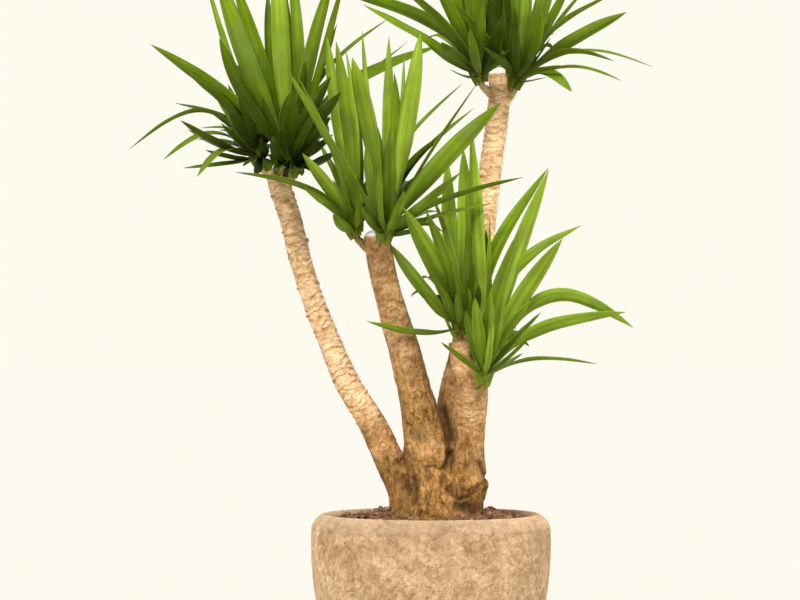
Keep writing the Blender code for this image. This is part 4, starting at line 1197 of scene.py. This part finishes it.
def fill(tree, made, inputs):
    """Puts a value or a link on each of a node's inputs, by its name or number."""
    for name, value in inputs.items():
        if isinstance(value, bpy.types.NodeSocket):
            tree.links.new(value, made.inputs[name])
        else:
            made.inputs[name].default_value = value


def node(tree, kind, settings=None, inputs=None):
    """A shader node with its settings and inputs."""
    made = tree.nodes.new(kind)
    for name, value in (settings or {}).items():
        setattr(made, name, value)
    fill(tree, made, inputs or {})
    return made


def new_material(name):
    material = bpy.data.materials.new(name)
    material.use_nodes = True
    tree = material.node_tree
    return material, tree, tree.nodes["Principled BSDF"]


def mapped(tree, place, scale):
    return node(tree, "ShaderNodeMapping", inputs={"Vector": place, "Scale": scale}).outputs["Vector"]


def object_place(tree, scale=(1.0, 1.0, 1.0)):
    return mapped(tree, node(tree, "ShaderNodeTexCoord").outputs["Object"], scale)


def noise_of(tree, place, scale, detail=3.0, roughness=0.5, distortion=0.0):
    inputs = {"Vector": place, "Scale": scale, "Detail": detail, "Roughness": roughness}
    inputs["Distortion"] = distortion
    return node(tree, "ShaderNodeTexNoise", inputs=inputs).outputs["Fac"]


def kept(tree, name):
    """A value that the mesh keeps at each point."""
    return node(tree, "ShaderNodeAttribute", {"attribute_name": name}).outputs["Fac"]


def ramp(tree, value, *stops):
    """Colour at a value: stops are places from 0 to 1 with their colours."""
    made = node(tree, "ShaderNodeValToRGB", inputs={"Fac": value})
    elements = made.color_ramp.elements
    while len(elements) < len(stops):
        elements.new(0.5)
    for element, (place, colour) in zip(elements, stops):
        element.position = place
        element.color = (*colour, 1.0)
    return made.outputs["Color"]


def spread(tree, value, low, high, to_low=0.0, to_high=1.0):
    """The value carried from one range to another, and held at its ends."""
    inputs = {"Value": value, "From Min": low, "From Max": high, "To Min": to_low, "To Max": to_high}
    return node(tree, "ShaderNodeMapRange", inputs=inputs).outputs["Result"]


def blend(tree, share, under, over, way="MIX"):
    """One colour over another by a share, with the way that they mix."""
    settings = {"data_type": "RGBA", "blend_type": way, "clamp_result": False}
    under, over = ((*colour, 1.0) if isinstance(colour, tuple) else colour for colour in (under, over))
    return node(tree, "ShaderNodeMix", settings, {0: share, 6: under, 7: over}).outputs[2]


def times(tree, colour, by, share=1.0):
    """A colour multiplied by another, by a share."""
    return blend(tree, share, colour, by, "MULTIPLY")


def sums(tree, way, first, second=0.0):
    return node(tree, "ShaderNodeMath", {"operation": way}, {0: first, 1: second}).outputs["Value"]


def share_of(tree, name, most):
    """A value that the mesh keeps, scaled down."""
    return sums(tree, "MULTIPLY", kept(tree, name), most)


def bump(tree, shader, height, strength, distance):
    inputs = {"Height": height, "Strength": strength, "Distance": distance}
    tree.links.new(node(tree, "ShaderNodeBump", inputs=inputs).outputs["Normal"], shader.inputs["Normal"])


def stone_material():
    """Sandy cast stone: slow mottles under a close squiggle of dark grooves and light crumbs, and grit."""
    material, tree, shader = new_material("pot stone")
    place = object_place(tree)
    broad = noise_of(tree, place, 13.0, 3.0, 0.6, 0.6)
    squiggle = noise_of(tree, place, 58.0, 6.0, 0.70, 1.2)
    sand = (
        (0.30, (0.240, 0.133, 0.054)),
        (0.42, (0.425, 0.270, 0.138)),
        (0.54, (0.545, 0.374, 0.220)),
        (0.70, (0.690, 0.512, 0.345)),
    )
    colour = ramp(tree, squiggle, *sand)
    colour = times(tree, colour, ramp(tree, broad, (0.30, (0.80, 0.75, 0.66)), (0.70, (1.15, 1.18, 1.24))))
    clots = spread(tree, noise_of(tree, place, 33.0, 4.0, 0.7, 1.5), 0.54, 0.68, 0.0, 0.50)
    colour = times(tree, colour, (0.66, 0.56, 0.44), clots)
    calm = ramp(tree, broad, (0.30, (0.340, 0.240, 0.152)), (0.70, (0.405, 0.300, 0.205)))
    colour = blend(tree, share_of(tree, "rim", 0.40), colour, calm)
    colour = blend(tree, share_of(tree, "groove", 0.66), colour, (0.27, 0.150, 0.062))
    colour = blend(tree, share_of(tree, "pit", 0.60), colour, (0.15, 0.080, 0.038))
    grit = spread(tree, noise_of(tree, place, 520.0, 3.0, 0.6), 0.35, 0.66, 0.78, 1.16)
    roughness = spread(tree, broad, 0.3, 0.7, 0.82, 0.94)
    fill(tree, shader, {"Base Color": times(tree, colour, grit), "Roughness": roughness})
    fill(tree, shader, {"Specular IOR Level": 0.3, "Diffuse Roughness": 1.0})
    height = sums(tree, "ADD", noise_of(tree, place, 420.0, 4.0, 0.7), squiggle)
    bump(tree, shader, height, 0.55, 0.0016)
    return material


def soil_material(name, light):
    """Damp potting soil or bark chips: dark brown, each lump a little lighter or redder than the next."""
    material, tree, shader = new_material(name)
    place = object_place(tree)
    tone = spread(tree, kept(tree, "tone"), -1.0, 1.0)
    colour = ramp(tree, tone, (0.0, (0.060, 0.022, 0.007)), (0.5, (0.165, 0.072, 0.026)), (1.0, light))
    speck = spread(tree, noise_of(tree, place, 260.0, 4.0, 0.7), 0.35, 0.7, 0.45, 1.55)
    fill(tree, shader, {"Base Color": times(tree, colour, speck), "Roughness": 0.9})
    bump(tree, shader, noise_of(tree, place, 350.0, 5.0, 0.75), 0.8, 0.002)
    return material


def bark_material():
    """Bark: cream when young, then tan, then brown, under soft blotches, streaks, dashes, moss and flecks.

    Lips are drawn light and grooves dark, partly as the bark's own colour and partly as painted highlight
    and painted shadow. A saw cut is pale wood, or white where it is sealed.
    """
    material, tree, shader = new_material("bark")
    place = object_place(tree)
    flat = object_place(tree, (1.0, 1.0, 2.0))
    tall = object_place(tree, (1.0, 1.0, 0.45))
    old = kept(tree, "old")
    ages = ((0.00, (0.84, 0.585, 0.345)), (0.55, (0.50, 0.280, 0.112)), (1.00, (0.315, 0.166, 0.049)))
    soft = noise_of(tree, flat, 42.0, 3.0, 0.55, 0.8)
    blotches = ((0.34, (0.66, 0.56, 0.42)), (0.46, (0.96, 0.93, 0.89)), (0.60, (1.14, 1.18, 1.26)))
    streak = noise_of(tree, tall, 105.0, 5.0, 0.66, 0.7)
    streaks = ((0.34, (0.44, 0.38, 0.28)), (0.47, (0.88, 0.86, 0.80)), (0.66, (1.52, 1.64, 1.80)))
    mottled = blend(tree, old, ramp(tree, soft, *blotches), ramp(tree, streak, *streaks))
    colour = times(tree, ramp(tree, old, *ages), mottled)
    dashes = spread(tree, noise_of(tree, flat, 78.0, 3.0, 0.55, 0.7), 0.57, 0.65, 0.0, 0.70)
    colour = times(tree, colour, (0.58, 0.46, 0.30), dashes)
    mossy = spread(tree, noise_of(tree, place, 19.0, 3.0), 0.50, 0.68, 0.0, 0.38)
    mossy = sums(tree, "MULTIPLY", mossy, spread(tree, old, 0.5, 0.95))
    colour = blend(tree, mossy, colour, (0.205, 0.165, 0.062))
    broad = noise_of(tree, place, 17.0, 3.0, 0.6)
    colour = times(tree, colour, ramp(tree, broad, (0.30, (0.84, 0.80, 0.75)), (0.70, (1.12, 1.10, 1.07))))
    colour = times(tree, colour, spread(tree, noise_of(tree, place, 260.0, 3.0, 0.6), 0.36, 0.64, 0.78, 1.20))
    # Lips drawn lighter: partly the scars' own colour, partly a painted highlight on the raised lips.
    colour = blend(tree, share_of(tree, "lip", 0.42), colour, (0.93, 0.735, 0.500))
    # Grooves, cracks and wrinkle hollows drawn darker: partly the bark's own colour there, partly painted
    # shadow.
    colour = times(tree, colour, (0.46, 0.34, 0.21), share_of(tree, "groove", 0.85))
    # The dark value: painted shade in furrows, hollows, folds, cracks, gaps between canes and at the rim of
    # an unsealed cut, and the dark brown of buds.
    colour = blend(tree, share_of(tree, "dark", 0.90), colour, (0.050, 0.024, 0.006))
    colour = blend(tree, share_of(tree, "sprout", 0.90), colour, (0.27, 0.29, 0.040))
    grain = noise_of(tree, place, 160.0, 3.0)
    sawn = ramp(tree, grain, (0.35, (0.42, 0.31, 0.19)), (0.65, (0.62, 0.50, 0.34)))
    colour = blend(tree, spread(tree, kept(tree, "cut"), 0.0, 1.0), colour, sawn)
    colour = blend(tree, spread(tree, kept(tree, "cut"), 1.0, 2.0), colour, (0.86, 0.85, 0.82))
    roughness = spread(tree, streak, 0.3, 0.7, 0.72, 0.92)
    fill(tree, shader, {"Base Color": colour, "Roughness": roughness, "Specular IOR Level": 0.2})
    height = sums(tree, "ADD", streak, noise_of(tree, place, 420.0, 4.0, 0.7))
    bump(tree, shader, height, 0.5, 0.0014)
    return material


def leaf_material():
    """Leaf: pale where it leaves the shoot, then dark low down as painted shade deep in the head, then green,
    with fine lines along it, and light shining through.

    Its tone makes it lighter or darker, partly as its own green and partly as painted light and shade. The
    rib and the margins are pale, the very tip is dry, and slow stripes, bloom and patches keep one leaf
    from looking like the next. The stripes are partly painted shade of the fold's two halves, and the bloom
    is partly painted sheen.
    """
    material, tree, shader = new_material("leaf")
    place = node(tree, "ShaderNodeUVMap", {"uv_map": "blade"}).outputs["UV"]
    spot = object_place(tree)
    reach = kept(tree, "reach")
    tone = kept(tree, "tone")
    # Along the leaf: pale at the root, then darker over the lower part as painted shade deep in the head,
    # then green.
    greens_and_base_shade = (
        (0.00, (0.36, 0.38, 0.050)),
        (0.05, (0.210, 0.275, 0.012)),
        (0.14, (0.055, 0.100, 0.0006)),
        (0.32, (0.095, 0.165, 0.0014)),
        (0.62, (0.165, 0.262, 0.0060)),
        (0.985, (0.155, 0.235, 0.0060)),
    )
    colour = ramp(tree, reach, *greens_and_base_shade)
    # Lighter by tone: partly the leaf's own green, partly painted light where it is lit or backlit, with the
    # blue of a painted sheen.
    colour = blend(tree, spread(tree, tone, 0.0, 1.0, 0.0, 0.85), colour, (0.340, 0.485, 0.045))
    # Darker by tone: partly the leaf's own green, partly painted shade where the leaf is shaded.
    colour = blend(tree, spread(tree, tone, 0.0, -1.25), colour, (0.012, 0.030, 0.0004))
    colour = blend(tree, share_of(tree, "below", 0.20), colour, (0.180, 0.250, 0.030))
    vein = noise_of(tree, mapped(tree, place, (34.0, 1.6, 1.0)), 1.0, 3.0, 0.6)
    colour = times(tree, colour, spread(tree, vein, 0.3, 0.7, 0.76, 1.24))
    # Slow stripes along the blade: partly the leaf's own streaks, partly painted light and shade of the
    # fold's two halves.
    bands = mapped(tree, place, (2.6, 0.7, 1.0))
    shifted = node(tree, "ShaderNodeVectorMath", {"operation": "ADD"}, {0: bands, 1: spot}).outputs["Vector"]
    stripe = noise_of(tree, shifted, 1.3, 2.0, 0.5)
    colour = times(tree, colour, spread(tree, stripe, 0.32, 0.68, 0.76, 1.24))
    across = node(tree, "ShaderNodeSeparateXYZ", inputs={"Vector": place}).outputs["X"]
    off_middle = sums(tree, "ABSOLUTE", sums(tree, "SUBTRACT", across, 0.5))
    colour = blend(tree, spread(tree, off_middle, 0.0, 0.035, 0.14, 0.0), colour, (0.26, 0.36, 0.03))
    colour = blend(tree, spread(tree, off_middle, 0.468, 0.495, 0.0, 0.40), colour, (0.30, 0.31, 0.06))
    colour = blend(tree, spread(tree, reach, 0.982, 0.998, 0.0, 0.8), colour, (0.16, 0.09, 0.03))
    # Pale grey-green patches: partly glaucous bloom, partly painted sheen.
    bloom_and_sheen = spread(tree, noise_of(tree, spot, 24.0, 2.0), 0.52, 0.68, 0.0, 0.30)
    colour = blend(tree, bloom_and_sheen, colour, (0.180, 0.255, 0.090))
    colour = times(tree, colour, spread(tree, noise_of(tree, spot, 16.0, 2.0), 0.3, 0.7, 0.82, 1.18))
    roughness = spread(tree, vein, 0.3, 0.7, 0.36, 0.48)
    fill(tree, shader, {"Base Color": colour, "Roughness": roughness, "Specular IOR Level": 0.03})
    bump(tree, shader, vein, 0.25, 0.0006)
    glow = times(tree, colour, (1.8, 1.7, 0.5))
    through = node(tree, "ShaderNodeBsdfTranslucent", inputs={"Color": glow}).outputs["BSDF"]
    both = node(tree, "ShaderNodeMixShader", inputs={0: 0.30, 1: shader.outputs["BSDF"], 2: through})
    fill(tree, tree.nodes["Material Output"], {"Surface": both.outputs["Shader"]})
    return material


def add_pot():
    add_piece("pot_body", [pot_shape()], stone_material(), "pot")


def add_soil():
    soil = soil_material("potting soil", (0.120, 0.056, 0.024))
    chips = soil_material("bark chips", (0.30, 0.16, 0.080))
    add_piece("soil_bed", [soil_shape()], soil, "soil")
    add_piece("bark_chips", crumb_shapes(), chips, None)


def add_trunk(bark):
    """Canes as pieces of their own, and the stump with the collars as the piece that stands for the solid."""
    shapes = [stump_shape()]
    tans = np.repeat(list(CANE_TANS.values()), 2)
    shapes += [collar_shape(head, tan, order) for order, (head, tan) in enumerate(zip(HEADS.values(), tans))]
    add_piece("stump_and_collars", shapes, bark, "trunk")
    for order, name in enumerate(CANES):
        add_piece(f"cane_{name}", [cane_shape(name, order)], bark, "trunk")


def add_heads(green):
    for order, (name, leaves) in enumerate(grow_leaves().items()):
        draw = np.random.default_rng(SEED + 60 + order)
        shapes = [fine_shoot(HEADS[name], 0.0)]
        shapes += [fine_blade(leaf, 31 * order + number) for number, leaf in enumerate(leaves)]
        sheaths = sheath_leaves(HEADS[name], draw)
        shapes += [fine_blade(leaf, 31 * order + number, 0.30) for number, leaf in enumerate(sheaths)]
        add_piece(name.replace("rosette", "leaves"), shapes, green, name)


def add_floor():
    """A wide round floor, plain and pale."""
    mesh = bpy.data.meshes.new("floor")
    rim = FLOOR_RADIUS * ring_of(round_angles(FLOOR_SIDES))
    mesh.from_pydata(rim, [], [list(range(FLOOR_SIDES))])
    material, tree, shader = new_material("pale floor")
    fill(tree, shader, {"Base Color": (*FLOOR_COLOUR, 1.0), "Roughness": 0.9, "Specular IOR Level": 0.0})
    mesh.materials.append(material)
    add_object("floor", mesh)


def add_sun(name, strength, colour, softness, azimuth, height):
    lamp = bpy.data.lights.new(name, "SUN")
    lamp.energy = strength
    lamp.color = colour
    lamp.angle = math.radians(softness)
    add_object(name, lamp).rotation_euler = (math.radians(90 - height), 0, math.radians(azimuth))


def add_light():
    world = bpy.data.worlds.new("studio")
    bpy.context.scene.world = world
    world.use_nodes = True
    tree = world.node_tree
    seen = node(tree, "ShaderNodeLightPath").outputs["Is Camera Ray"]
    strength = spread(tree, seen, 0.0, 1.0, ROOM_LIGHT, 1.0)
    fill(tree, tree.nodes["Background"], {"Color": (*ROOM_COLOUR, 1.0), "Strength": strength})
    for name, sun in SUNS.items():
        add_sun(name, *sun)
    bpy.context.scene.view_settings.view_transform = "Standard"


def add_camera():
    lens = bpy.data.cameras.new("camera")
    lens.sensor_width = SENSOR_WIDTH
    lens.lens = LENS
    lens.shift_y = VIEW_SHIFT
    camera = add_object("camera", lens)
    camera.location = (CAMERA_ACROSS, -CAMERA_DISTANCE, CAMERA_HEIGHT)
    camera.rotation_euler = (math.pi / 2, 0, 0)
    bpy.context.scene.camera = camera


add_camera()
add_floor()
add_light()
add_pot()
add_soil()
add_trunk(bark_material())
add_heads(leaf_material())
